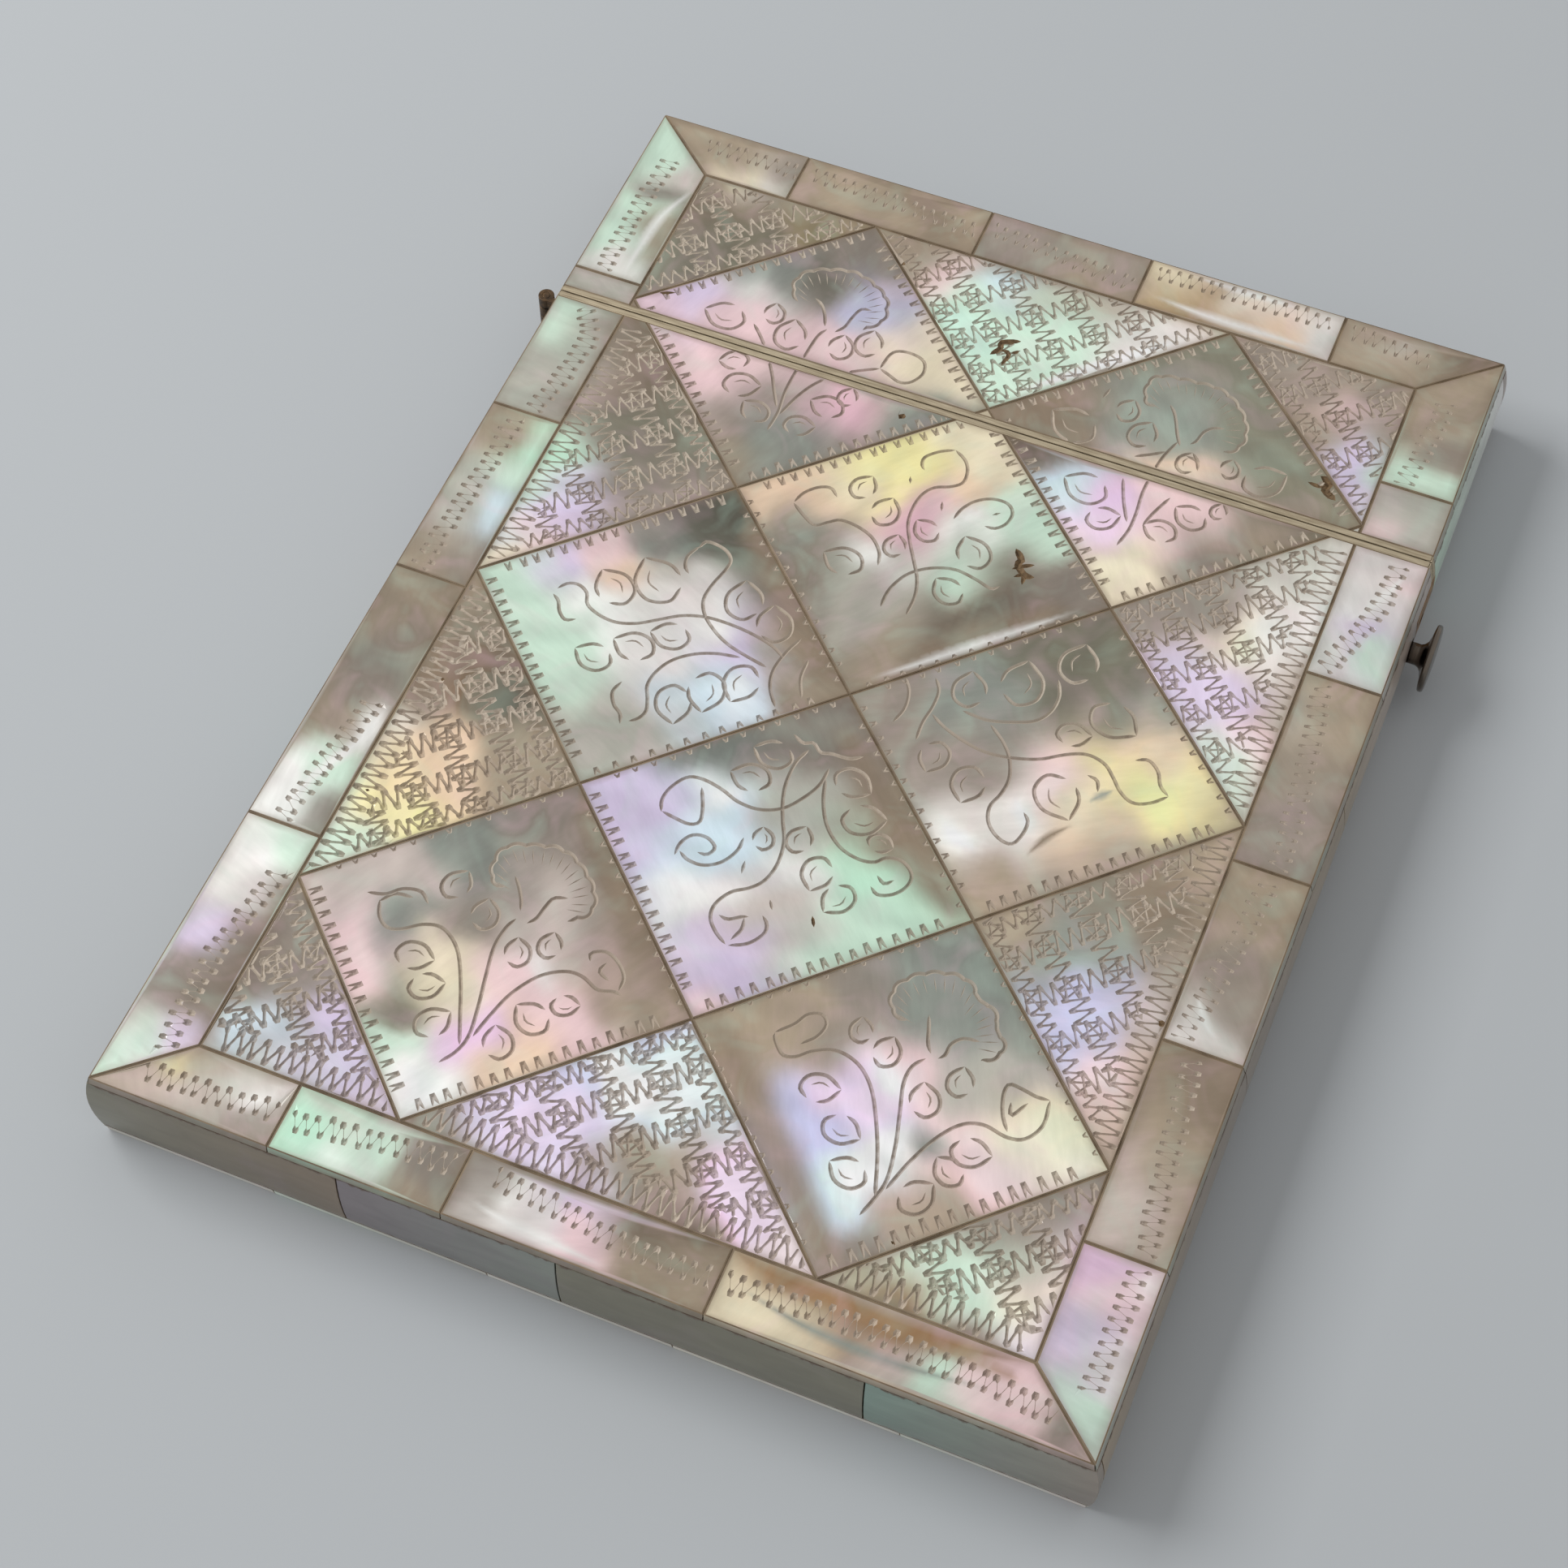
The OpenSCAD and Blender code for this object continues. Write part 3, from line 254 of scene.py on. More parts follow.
# Streaks of tone along a line: tone, width, points. The white ones are painted highlights, gleams
# of light along the plaques' edges and bands; the others are the shell's own bands of tone. A streak
# belongs to the plaque of its first point, and later ones lie over earlier ones
STREAKS_AND_HIGHLIGHTS = [
    ("rust", 1.1, [(50.6, 101.3), (58.0, 101.3), (66.0, 101.4), (70.5, 101.9)]),
    ("slate", 0.4, [(50.2, 102.9), (56.0, 103.9), (62.5, 104.1), (69.5, 103.4)]),
    ("umber", 0.3, [(59.4, 57.8), (58.0, 59.5), (57.0, 61.8)]),
    ("slate", 0.35, [(61.3, 53.5), (59.8, 55.3)]),
    ("brown", 1.9, [(41.0, 84.6), (48.0, 91.3), (55.4, 98.4)]),
    ("brown", 2.3, [(24.2, 70.2), (30.6, 76.4), (37.0, 82.6)]),
    ("brown", 2.0, [(25.4, 40.4), (31.0, 45.8), (36.4, 51.2)]),
    ("brown", 1.8, [(40.4, 57.0), (46.6, 62.6), (53.4, 68.4)]),
    ("brown", 1.6, [(51.6, 39.0), (47.0, 43.2), (42.0, 47.8)]),
    ("greige", 0.8, [(61.8, 26.2), (63.0, 26.4)]),
    # The white streaks from here on are painted highlights
    ("white", 0.45, [(6.2, 7.4), (5.2, 9.8), (4.5, 12.8), (4.3, 19.3)]),
    ("white", 0.5, [(5.7, 67.8), (4.9, 72.0), (3.2, 76.0), (2.6, 80.2)]),
    ("white", 0.4, [(76.6, 24.4), (75.2, 28.0), (73.2, 31.4)]),
    ("white", 0.35, [(73.0, 68.4), (74.2, 70.4), (75.4, 71.4)]),
    ("white", 0.45, [(30.2, 104.0), (33.5, 104.6), (41.0, 105.1)]),
    ("white", 0.5, [(52.9, 38.4), (46.8, 44.4), (40.0, 50.9)]),
    ("white", 0.7, [(52.5, 7.0), (47.0, 12.3), (40.6, 18.6)]),
    ("white", 0.4, [(14.0, 0.4), (19.0, 0.4)]),
    ("white", 0.5, [(47.8, 4.0), (54.0, 4.5), (62.6, 4.5)]),
    ("white", 0.4, [(50.0, 0.5), (60.0, 0.6)]),
]
# Streaks narrower than this get points of their own to carry their colour, and wider ones draw in at
# their ends by no more than they do
NARROW = 0.6

# Old flaws, stained dark: width, then points. Pits, worm tracks and small chips
FLAWS = [
    (0.6, [(46.2, 34.3), (47.0, 35.2), (46.9, 35.8), (47.8, 36.6), (48.6, 36.5)]),
    (0.4, [(46.6, 36.4), (47.2, 35.9), (48.2, 35.3)]),
    (0.4, [(47.0, 37.1), (47.7, 36.6), (47.9, 37.6)]),
    (0.7, [(67.0, 17.6), (67.9, 18.0), (67.8, 18.9), (68.9, 19.6)]),
    (0.4, [(66.2, 18.6), (67.2, 18.7), (68.0, 18.3)]),
    (0.5, [(37.0, 15.6), (37.6, 14.6), (37.5, 13.9), (39.0, 13.2)]),
    (0.4, [(37.6, 14.7), (38.5, 14.9), (38.3, 16.3)]),
    (0.35, [(38.6, 14.8), (39.3, 14.2)]),
    (1.0, [(32.2, 24.7), (32.8, 24.9)]),
    (0.5, [(8.3, 63.8), (8.7, 63.8)]),
    (0.5, [(7.5, 75.5), (7.9, 75.5)]),
    (0.5, [(59.1, 95.6), (59.5, 95.7)]),
    (0.55, [(30.8, 44.8), (31.2, 45.0)]),
    (0.7, [(71.0, 71.5), (71.6, 71.9)]),
    (0.7, [(26.0, 8.6), (26.6, 8.8)]),
    (0.3, [(8.0, 19.9), (9.4, 19.3)]),
    (0.35, [(43.9, 72.9), (44.4, 73.8)]),
    (0.35, [(52.0, 22.2), (52.8, 22.3)]),
    (0.3, [(60.2, 22.3), (61.4, 22.2)]),
    (0.35, [(66.3, 22.2), (66.9, 22.3)]),
]

# Heights of the rows of teeth along the lower right, upper right, upper left and lower left edge of
# each lozenge
TEETH = {
    (1, 1): (0.9, 0.9, 0.8, 0.9),
    (3, 1): (0.9, 0.9, 0.8, 0.9),
    (2, 2): (0.3, 0.9, 0.8, 0.4),
    (1, 3): (0.6, 0.4, 0.9, 0.9),
    (3, 3): (0.95, 0.5, 0.4, 0.5),
    (2, 4): (0.9, 0.4, 0.4, 0.9),
    (1, 5): (1.0, 0.35, 0.35, 1.0),
    (3, 5): (1.15, 0.3, 0.3, 0.3),
}

# Wriggled bands in the borders: strength, points
BANDS = [
    (0.9, [(2.8, 5.0), (2.4, 10.0), (2.4, 19.2)]),
    (0.8, [(2.6, 23.6), (4.3, 26.0), (4.5, 29.5), (3.5, 36.0)]),
    (0.9, [(2.7, 37.4), (2.3, 46.0), (1.9, 54.5)]),
    (1.0, [(4.4, 67.8), (3.6, 74.0), (2.7, 80.2)]),
    (1.1, [(4.9, 84.8), (3.6, 94.0), (4.1, 101.5)]),
    (0.6, [(74.6, 6.0), (74.4, 10.0), (73.6, 16.0)]),
    (0.9, [(75.7, 24.2), (75.2, 29.5), (73.0, 36.4)]),
    (0.6, [(73.4, 37.8), (74.6, 47.0), (75.3, 55.6)]),
    (0.6, [(75.0, 57.0), (74.2, 65.0), (73.0, 72.4)]),
    (0.8, [(74.4, 73.8), (75.3, 82.0), (76.3, 89.8)]),
    (0.9, [(76.2, 91.0), (76.1, 96.0), (75.9, 101.0)]),
    (0.7, [(5.0, 2.1), (9.0, 2.0), (13.8, 2.1)]),
    (0.7, [(15.2, 1.8), (23.0, 2.2), (31.0, 2.6)]),
    (0.7, [(32.4, 1.9), (39.0, 2.6), (45.6, 3.4)]),
    (0.8, [(47.2, 1.3), (55.0, 1.2), (63.0, 1.3)]),
    (0.6, [(64.8, 1.5), (68.0, 1.7), (72.0, 2.2)]),
    (1.0, [(3.6, 103.6), (9.0, 103.5), (14.0, 103.0)]),
    (1.0, [(15.4, 103.3), (21.0, 102.5), (27.8, 101.9)]),
    (0.9, [(31.0, 101.7), (36.0, 102.2), (42.0, 103.0), (48.4, 103.1)]),
    (1.1, [(49.6, 102.9), (58.8, 102.5), (67.0, 102.9), (74.4, 103.5)]),
]

# Triangles whose engraving is cut full; in the others it is three quarters as wide
BOLD_TRIANGLES = {(0, 4), (0, 6), (2, 6), (4, 6)}

# Engraved sprays: a list of flowers as points, a list of stems and lesser outlines, then the leaves
# as place, direction of the tip in degrees anticlockwise from the right, and length
SPRAYS = {
    (1, 1): (
        [
            [(19.5, 16.3), (18.6, 14.9), (18.6, 13.5), (19.6, 12.3), (22.3, 11.3), (24, 11.5), (25.3, 12.1),
             (26.4, 12.9), (27, 14), (27.2, 15.4), (26.6, 16.4), (25.9, 17.1)],
        ],
        [
            [(20.8, 15.3), (21.6, 15.8), (22.3, 16.8), (22.8, 18)],
            [(25.9, 14.8), (25, 15), (24.6, 16.2), (24.4, 17.4), (23.8, 18.3)],
            [(23.1, 18.2), (22.6, 19.5), (22.4, 23.5), (22.4, 26), (22.7, 28.3), (22.6, 30.5)],
            [(22.4, 27.9), (21.5, 26.3), (20.6, 24.6), (19.3, 22.6), (18, 21), (17, 20)],
            [(22.9, 28.5), (23.6, 26), (24.6, 24), (26.3, 22.2), (28.9, 20.6)],
            [(28.9, 20.6), (29.2, 18.7), (30, 18.1), (31.3, 18.1), (32.2, 18.6), (32.5, 19.8), (31.9, 21),
             (31, 21.4), (29.9, 21), (28.9, 20.6)],
        ],
        [(14.4, 20, 180, 3.2), (18.2, 18.3, 100, 2), (20.5, 20, 100, 3), (24.9, 19.7, 95, 2.4),
         (27.1, 18.4, 95, 2.6), (17.1, 24.5, 200, 2.2), (18.7, 26.8, 20, 2.8), (20.8, 29, 150, 2.4),
         (24.9, 29.1, 20, 2.3), (26.3, 26.3, 170, 2.6), (27.6, 24.6, 90, 1.8)],
    ),
    (3, 1): (
        [
            [(51.9, 15.8), (51, 15.4), (50.6, 14.2), (50.7, 13), (51.7, 12.2), (54.9, 11.8), (56.6, 11.9),
             (57.9, 12.6), (58.9, 13.6), (59.6, 14.7), (60, 16.2), (59.7, 17.5), (58.8, 18.3)],
        ],
        [
            [(53, 15), (53.6, 15.7), (54.1, 16.7), (54.6, 17.9), (55.2, 19)],
            [(58.1, 15.8), (57.2, 16.1), (56.6, 16.8), (56.3, 18), (55.9, 18.5)],
            [(54.9, 18.6), (54.2, 21), (53.9, 24.5), (54.1, 27), (54.1, 29), (53.7, 30.9)],
            [(51.9, 24), (52.7, 26.2), (53.7, 28.3)],
            [(56.2, 24.5), (55.4, 26.6), (55, 28.2)],
            [(52, 21.5), (53.5, 20.6), (54.3, 20)],
            [(56, 19.8), (57, 20), (57.4, 21)],
            [(47.8, 15.2), (47.5, 16.5)],
        ],
        [(46.2, 20.1, 160, 3.8), (49.9, 17, 80, 2.2), (52, 19, 80, 2.6), (62.8, 19.9, 40, 3.4),
         (56.4, 20.5, 90, 2), (59.8, 19.8, 90, 1.8), (49.4, 26.1, 170, 3.4), (51.7, 28.6, 30, 2.5),
         (58.4, 25.8, 160, 2.6), (56.5, 28.2, 170, 2.5), (60.4, 24.4, 90, 1.5)],
    ),
    (2, 2): (
        [],
        [
            [(40.3, 44), (40.3, 42), (39.8, 40.2), (38.9, 38.6), (37.9, 36.9), (37.1, 35.2), (36.9, 33.5),
             (37.1, 32), (37.8, 30.9), (39, 30.3), (39.8, 29.5), (39.7, 28.2), (39.1, 27.2), (38, 26.5)],
            [(38, 26.5), (36.8, 27.2), (35.9, 28.2), (36, 29.1), (36.4, 29.5)],
            [(36.4, 40.2), (36, 38.9), (34.9, 37.7), (33.4, 37.1), (31.9, 37), (31, 37.6), (30.1, 38.3),
             (29, 37.8), (27.6, 36.8)],
            [(27.6, 36.7), (28, 35.5), (28.9, 34.5), (29.9, 34.2), (30.7, 34.9)],
            [(38.1, 44), (38.1, 42.3), (38.6, 40.7), (39.4, 39.6), (40.7, 38.7), (42.4, 38.2), (44.3, 38.5),
             (45.7, 38.9), (46.3, 38.4)],
            [(40.4, 33.4), (40.7, 32.1), (41.5, 30.9), (42.7, 30.2), (44, 30.2), (44.7, 31), (44.6, 32.2),
             (43.9, 33), (43, 33.1)],
            [(43.2, 31.8), (43.8, 31.3)],
            [(38.9, 32), (39.2, 33)],
            [(35.5, 30.5), (35.8, 31.3)],
        ],
        [(32.4, 33.1, 80, 2.3), (34.9, 34.8, 85, 2.6), (38.8, 35.3, 150, 2.2), (43.1, 36.1, 130, 3),
         (37, 37.8, 100, 2), (33.6, 40.9, 170, 3), (42.6, 40.4, 150, 2.6)],
    ),
    (1, 3): (
        [],
        [
            [(31.9, 53), (30, 52.6), (28.2, 52.1), (26.7, 51.3), (25.3, 50.1), (24.6, 48.7), (24.7, 47),
             (25.1, 45.3), (25.1, 44.2), (24.2, 43.4), (22.6, 43.2), (22.2, 44.1)],
            [(22.2, 43.9), (21.7, 45.1), (21.9, 46.2), (22.5, 46.8)],
            [(32.9, 51.7), (31.5, 50.9), (29.5, 50.4), (27.4, 50.2), (25.4, 50.3), (23.6, 50.9), (22, 52),
             (20.5, 53), (18.9, 53.5), (17.3, 53.3), (16.1, 52.7), (15.6, 51.7), (14.7, 51.2), (13.8, 51.4),
             (13.2, 52.2)],
            [(13.1, 52.8), (13.8, 53.3), (14.3, 54.2), (15.1, 54.8), (15.9, 54.4)],
            [(29.6, 52.9), (27.6, 53.3), (25.9, 54.1), (24.6, 55.3), (23.9, 56.8), (23.8, 58.2),
             (24.3, 59.3), (24.7, 60.5), (24.4, 61.4), (23.8, 61.9)],
            [(21.8, 58.6), (21.5, 59.8), (22.1, 60.9), (22.9, 61.5), (23.3, 62.4)],
            [(33.4, 49.3), (32.8, 51), (32.5, 53), (32.9, 54.7), (34, 56.3)],
            [(34.7, 51), (34.8, 52.9), (35.6, 54.7)],
        ],
        [(20.5, 48.3, 140, 4.2), (17.4, 50.4, 140, 3.4), (27.8, 47.6, 110, 3.4), (30.8, 48.9, 110, 3.2),
         (23.6, 53, 190, 2.8), (21.3, 55.2, 175, 3), (18.7, 57.2, 175, 2.8), (30.7, 55.2, 265, 3.2),
         (28.3, 57, 285, 3.3), (26.5, 59, 290, 3.2)],
    ),
    (3, 3): (
        [],
        [
            [(45.7, 52.2), (47, 53), (49, 53.7), (51, 54), (53, 53.7), (55, 53), (56.8, 51.8), (58.3, 51.2),
             (59.8, 51.5), (60.8, 52.4), (61.8, 53.5), (63, 54.1), (64.3, 53.6), (65.4, 52.5)],
            [(65.4, 52.5), (64.5, 51.8), (63.9, 50.6), (62.9, 49.9), (61.9, 50.3)],
            [(53.8, 45.3), (54.4, 46.8), (54.3, 48.4), (53.5, 49.7), (51.9, 50.5), (49.9, 51.1),
             (47.8, 51)],
            [(50.3, 51.4), (51.8, 52.6), (52.8, 53.9), (53.4, 55.6), (53.3, 57.2), (52.9, 58.6), (53.3, 60),
             (54.4, 61), (55.6, 61.2), (56.1, 60.1), (56.1, 58.8), (55.5, 58.1)],
            [(44.7, 48.8), (45.4, 49.9), (45.5, 51.5), (45.3, 53.2), (45.4, 55)],
            [(42.3, 49.5), (43.2, 50.8), (43.5, 52.5), (43.1, 54.1)],
            [(58.9, 53), (59.8, 53.2), (60.2, 54.2)],
        ],
        [(54.9, 43.3, 95, 3.4), (51.2, 46.8, 95, 3.8), (47.7, 48.9, 105, 3), (59.2, 47.3, -20, 3.6),
         (56.7, 49.9, 20, 2.4), (57.5, 55.7, -50, 3.8), (47.2, 55.9, 270, 2.6), (50.7, 57.3, 270, 3)],
    ),
    (2, 4): (
        [],
        [
            [(36.3, 58.1), (37.3, 58.6), (38.1, 58.3), (38.9, 58.9), (39.8, 58.7), (41.2, 58.6),
             (42.2, 58)],
            [(38, 59), (37.5, 60.5), (37.5, 62.5), (37.9, 64.2), (38.6, 65.9), (39.4, 67.6), (39.7, 69.6),
             (39.4, 71.3), (38.6, 72.4), (37.4, 73.3), (36.7, 74.7), (36.8, 75.9), (37.6, 76.9),
             (38.8, 77.7)],
            [(39, 77.7), (40.3, 77), (41.1, 75.8), (41, 74.9), (40.4, 74.3)],
            [(37.3, 75.5), (38.1, 75.6), (39, 75), (39.5, 74.8)],
            [(39.2, 75), (39.4, 76), (39, 77.2)],
            [(40.1, 60), (40, 61.7), (39.3, 63.3), (38.2, 64.8), (36.6, 65.6), (34.8, 65.6), (33.1, 65),
             (31.4, 64.7), (30.2, 65), (29.4, 66.3), (29.2, 67.6), (29.6, 68.7)],
            [(29.6, 68.6), (30.8, 68.8), (32, 68.9), (32.7, 68.4), (32.4, 67.1), (31.6, 65.4)],
            [(40.2, 61), (40.8, 63), (41.9, 65), (43.5, 66.4), (45.2, 66.9), (46.5, 66.7), (47.2, 66),
             (48.4, 65.8), (49.5, 66.6), (49.6, 67.7), (48.9, 68.8), (47.8, 69.3), (47, 68.8)],
            [(47.1, 67.7), (47.9, 68.2), (48.5, 67.6)],
            [(36.4, 68.4), (36.4, 69.7), (35.7, 71.1), (34.5, 71.9), (33.2, 71.9), (32.3, 71.4)],
            [(32.1, 71.9), (32.1, 70.7), (32.7, 69.7), (33.8, 69.5), (34.7, 70.1), (34.4, 70.9),
             (33.6, 71)],
            [(37.3, 70.3), (37.5, 71.5)],
            [(40.4, 72.8), (40.9, 73.6)],
        ],
        [(35.6, 60.4, 180, 2.8), (34.8, 63.2, 180, 2.8), (42.3, 60.7, -10, 2.8), (44.3, 63.4, 20, 3),
         (46.3, 65, 0, 1.8), (37.8, 68, 110, 1.8), (40.5, 67, 90, 2.2), (42.9, 69.3, 270, 2.7),
         (45.1, 70.8, 250, 2.6)],
    ),
    (1, 5): (
        [
            [(21.3, 79.5), (20.2, 79.2), (19.6, 77.9), (19.7, 76.4), (20.6, 75.6), (22, 75.1), (23.6, 74.7),
             (25.2, 75.1), (26.8, 76.2), (27.8, 77.3), (28.3, 78.5), (28, 79.5), (26.9, 80.3)],
        ],
        [
            [(21.6, 78.2), (22.3, 79), (23, 80.1), (23.3, 80.9)],
            [(26.2, 78.5), (25.2, 78.9), (24.9, 79.8), (24.7, 81), (24.2, 81.7)],
            [(23.3, 81.6), (22.9, 82.7), (22.8, 84.5), (23.3, 87), (23.9, 89.6), (24.3, 92), (24, 93.6),
             (23.2, 94.9)],
            [(24, 93), (23, 90.8), (21.7, 88), (20.3, 85.7), (18.6, 84.5), (17.1, 84.7), (15.7, 85.7),
             (14.6, 86), (13.6, 85.3), (13, 84)],
            [(11.8, 83.8), (13.2, 83.4), (14.2, 82.5), (15.6, 82.2), (16.6, 83)],
            [(13, 84.2), (13.9, 83.1), (15.3, 82.9)],
            [(24.6, 92), (25, 90), (25.7, 87.6), (27, 85.5), (28.6, 84.4), (30, 84.3), (31.5, 84.9),
             (32.7, 84.6), (33.4, 84.7)],
            [(33, 84.4), (32.9, 83.2), (32, 82.2), (30.8, 81.7), (29.8, 82.2), (30, 82.9)],
            [(31.2, 82.5), (31, 83.4), (32, 83.9)],
        ],
        [(17.9, 80.6, 80, 2.4), (20.9, 82.2, 100, 2.4), (17.6, 87.5, 10, 2.6), (19.5, 89.4, 30, 2.4),
         (21.4, 92.1, 60, 2.6), (24.6, 84.3, 110, 2.2), (26.7, 82.8, 100, 2), (29.8, 87, 20, 1.9),
         (28, 88.9, 160, 2.7), (26.5, 91.8, 120, 2.5)],
    ),
    (3, 5): (
        [
            [(53.7, 78.7), (52.5, 78.2), (51.9, 76.9), (52.2, 75.7), (53.3, 74.5), (54.8, 73.8),
             (56.3, 73.6), (57.4, 74.1), (58.1, 75), (59, 75.1), (59.9, 75.9), (60.1, 76.8), (60.9, 77.4),
             (61.2, 78.3), (60.8, 79.1), (60, 79.7)],
        ],
        [
            [(55.1, 77.5), (55.5, 78.6), (55.9, 79.8), (56.4, 80.5)],
            [(59.4, 78.2), (58.2, 78.4), (57.5, 79.2), (57.4, 80.2), (57, 80.7)],
            [(56.2, 81), (55.5, 82), (55.4, 83.5), (56, 85.8), (56.7, 88.5), (57.1, 91.2), (56.8, 93),
             (56.3, 94.6)],
            [(56.8, 92.8), (55.7, 89.5), (54.4, 86.6), (53.2, 84.6), (51.7, 83.3), (49.9, 82.9),
             (48.3, 83.6), (47.3, 84.5), (46.3, 84.7), (45.3, 83.7), (45.1, 83.2)],
            [(45.1, 83.2), (46.2, 82), (46.8, 80.9), (47.8, 80.5), (48.4, 81.2), (48.1, 82.4),
             (47.2, 83.4)],
            [(57.3, 92), (58.1, 89.3), (59.2, 86.8), (60.5, 85.1), (62, 84.5), (63.9, 84.8), (65.2, 84.4),
             (66, 82.9), (65.8, 80.8)],
            [(65.8, 80.8), (64.8, 80.9), (63.6, 80.7), (62.6, 80.7), (62.5, 81.7), (63, 83.2),
             (63.8, 84.4)],
            [(63.2, 82), (63.6, 83), (64.4, 81.6)],
        ],
        [(51, 80.6, 110, 1.9), (53.3, 81.6, 85, 2.3), (59.3, 81.9, 100, 2.2), (57.3, 84.3, 110, 2.5),
         (49.9, 86.3, 20, 2.6), (52.6, 88.7, -10, 2.6), (54.3, 91.7, 170, 2.6), (61.9, 86.9, 10, 2.6),
         (61, 88.9, 150, 2.3), (59.5, 91.7, 60, 2.7)],
    ),
}

# Sizes of the engraver's hand, in mm: the wobble of each turn, how far cuts stay from a plaque's
# softened edge, the shortest piece of a clipped cut that is kept, and the greatest depth
WOBBLE = 0.07
CUT_MARGIN = 0.06
SHORTEST_CUT = 0.25
DEEPEST_CUT = 0.35
# Depths in mm from which a face counts as cut, in its middle and as the mean of its corners, and how
# far the points of the colour grid stay from a plaque's softened edge
MIDDLE_CUT = 0.003
CORNERS_CUT = 0.02
GRID_ROOM = 0.15


def linear(hex_text, alpha=1.0):
    """A linear colour from an sRGB hex value."""
    parts = np.array([int(hex_text[i : i + 2], 16) for i in (1, 3, 5)]) / 255
    return [*np.where(parts <= 0.04045, parts / 12.92, ((parts + 0.055) / 1.055) ** 2.4), alpha]


# Lines and outlines


def on_face(points):
    """Places counted from the case's top left corner, as face coordinates about its centre."""
    points = np.asarray(points, float)
    return np.stack([points[..., 0] - HALF_W, HALF_H - points[..., 1]], -1)


def run_along(line):
    """Distance along a line from its first point to each of its points."""
    return np.concatenate([[0], np.cumsum(np.linalg.norm(np.diff(line[:, :2], axis=0), axis=1))])


def turned_left(arrows):
    """Flat arrows turned a quarter turn to the left."""
    return np.stack([-arrows[:, 1], arrows[:, 0]], 1)


def units(arrows):
    """Flat arrows made one long."""
    return arrows / np.linalg.norm(arrows, axis=1)[:, None]


def turned(points, angle):
    """Flat points turned round the origin by an angle in radians."""
    c, s = math.cos(angle), math.sin(angle)
    return points @ np.array([[c, s], [-s, c]])


def evenly(line, count):
    """Points at even steps along a line."""
    run = run_along(line)
    at = np.linspace(0, run[-1], count)
    return np.stack([np.interp(at, run, line[:, 0]), np.interp(at, run, line[:, 1])], 1)


def smooth_line(points, step=0.3):
    """A Catmull-Rom curve through the points: each span is the cubic of its four neighbours, and
    the whole is then spaced evenly along its length."""
    p = np.asarray(points, float)
    p = np.vstack([2 * p[0] - p[1], p, 2 * p[-1] - p[-2]])
    t = np.linspace(0, 1, 9)[:-1, None, None]
    a, b, c, d = p[:-3], p[1:-2], p[2:-1], p[3:]
    spans = 0.5 * (
        2 * b + (c - a) * t + (2 * a - 5 * b + 4 * c - d) * t**2 + (3 * b - a - 3 * c + d) * t**3
    )
    line = np.vstack([spans.transpose(1, 0, 2).reshape(-1, 2), p[-2]])
    return evenly(line, max(3, int(run_along(line)[-1] / step) + 1))


def edge_normals(outline):
    """Unit arrows that point inwards from each edge of an anticlockwise outline."""
    return turned_left(units(np.roll(outline, -1, 0) - outline))


def inside_by(points, outline):
    """How far points lie inside a convex anticlockwise outline: the least distance to its edges."""
    return ((points[:, None] - outline[None]) * edge_normals(outline)[None]).sum(-1).min(1)


def drawn_in(outline, by):
    """A convex anticlockwise outline with every edge moved inwards by the given distance."""
    normal = edge_normals(outline)
    before = np.roll(normal, 1, 0)
    return outline + by * (normal + before) / (1 + (normal * before).sum(1))[:, None]


def clipped(line, outline, margin):
    """The runs of a line, or of a cut, that stay the margin inside a convex outline. They are cut
    where they cross it."""
    room = inside_by(line[:, :2], outline) - margin
    keep = room > 0
    if keep.all() or not keep.any():
        return [line] if keep.all() else []
    change = np.flatnonzero(keep[1:] != keep[:-1])
    share = room[change] / (room[change] - room[change + 1])
    crossing = line[change] + share[:, None] * (line[change + 1] - line[change])
    line = np.insert(line, change + 1, crossing, axis=0)
    keep = np.insert(keep, change + 1, True)
    parts = np.split(np.arange(len(line)), np.flatnonzero(keep[1:] != keep[:-1]) + 1)
    return [line[part] for part in parts if keep[part[0]] and len(part) > 1]


def beside(line, width):
    """Points on a streak and beside it, for its colour to fade between."""
    normal = units(turned_left(np.gradient(line, axis=0)))
    return np.vstack([line + k * width * normal for k in (-1.6, -0.8, 0, 0.8, 1.6)])


# The engraver's patterns


def cut(line, width):
    """A graver's cut as place and half width at each point. It goes in and comes out in a point
    over 0.5 mm."""
    run = run_along(line)
    half = width / 2 * np.minimum(np.minimum(run, run[-1] - run) / 0.5, 1) ** 0.7
    return np.column_stack([line, half])


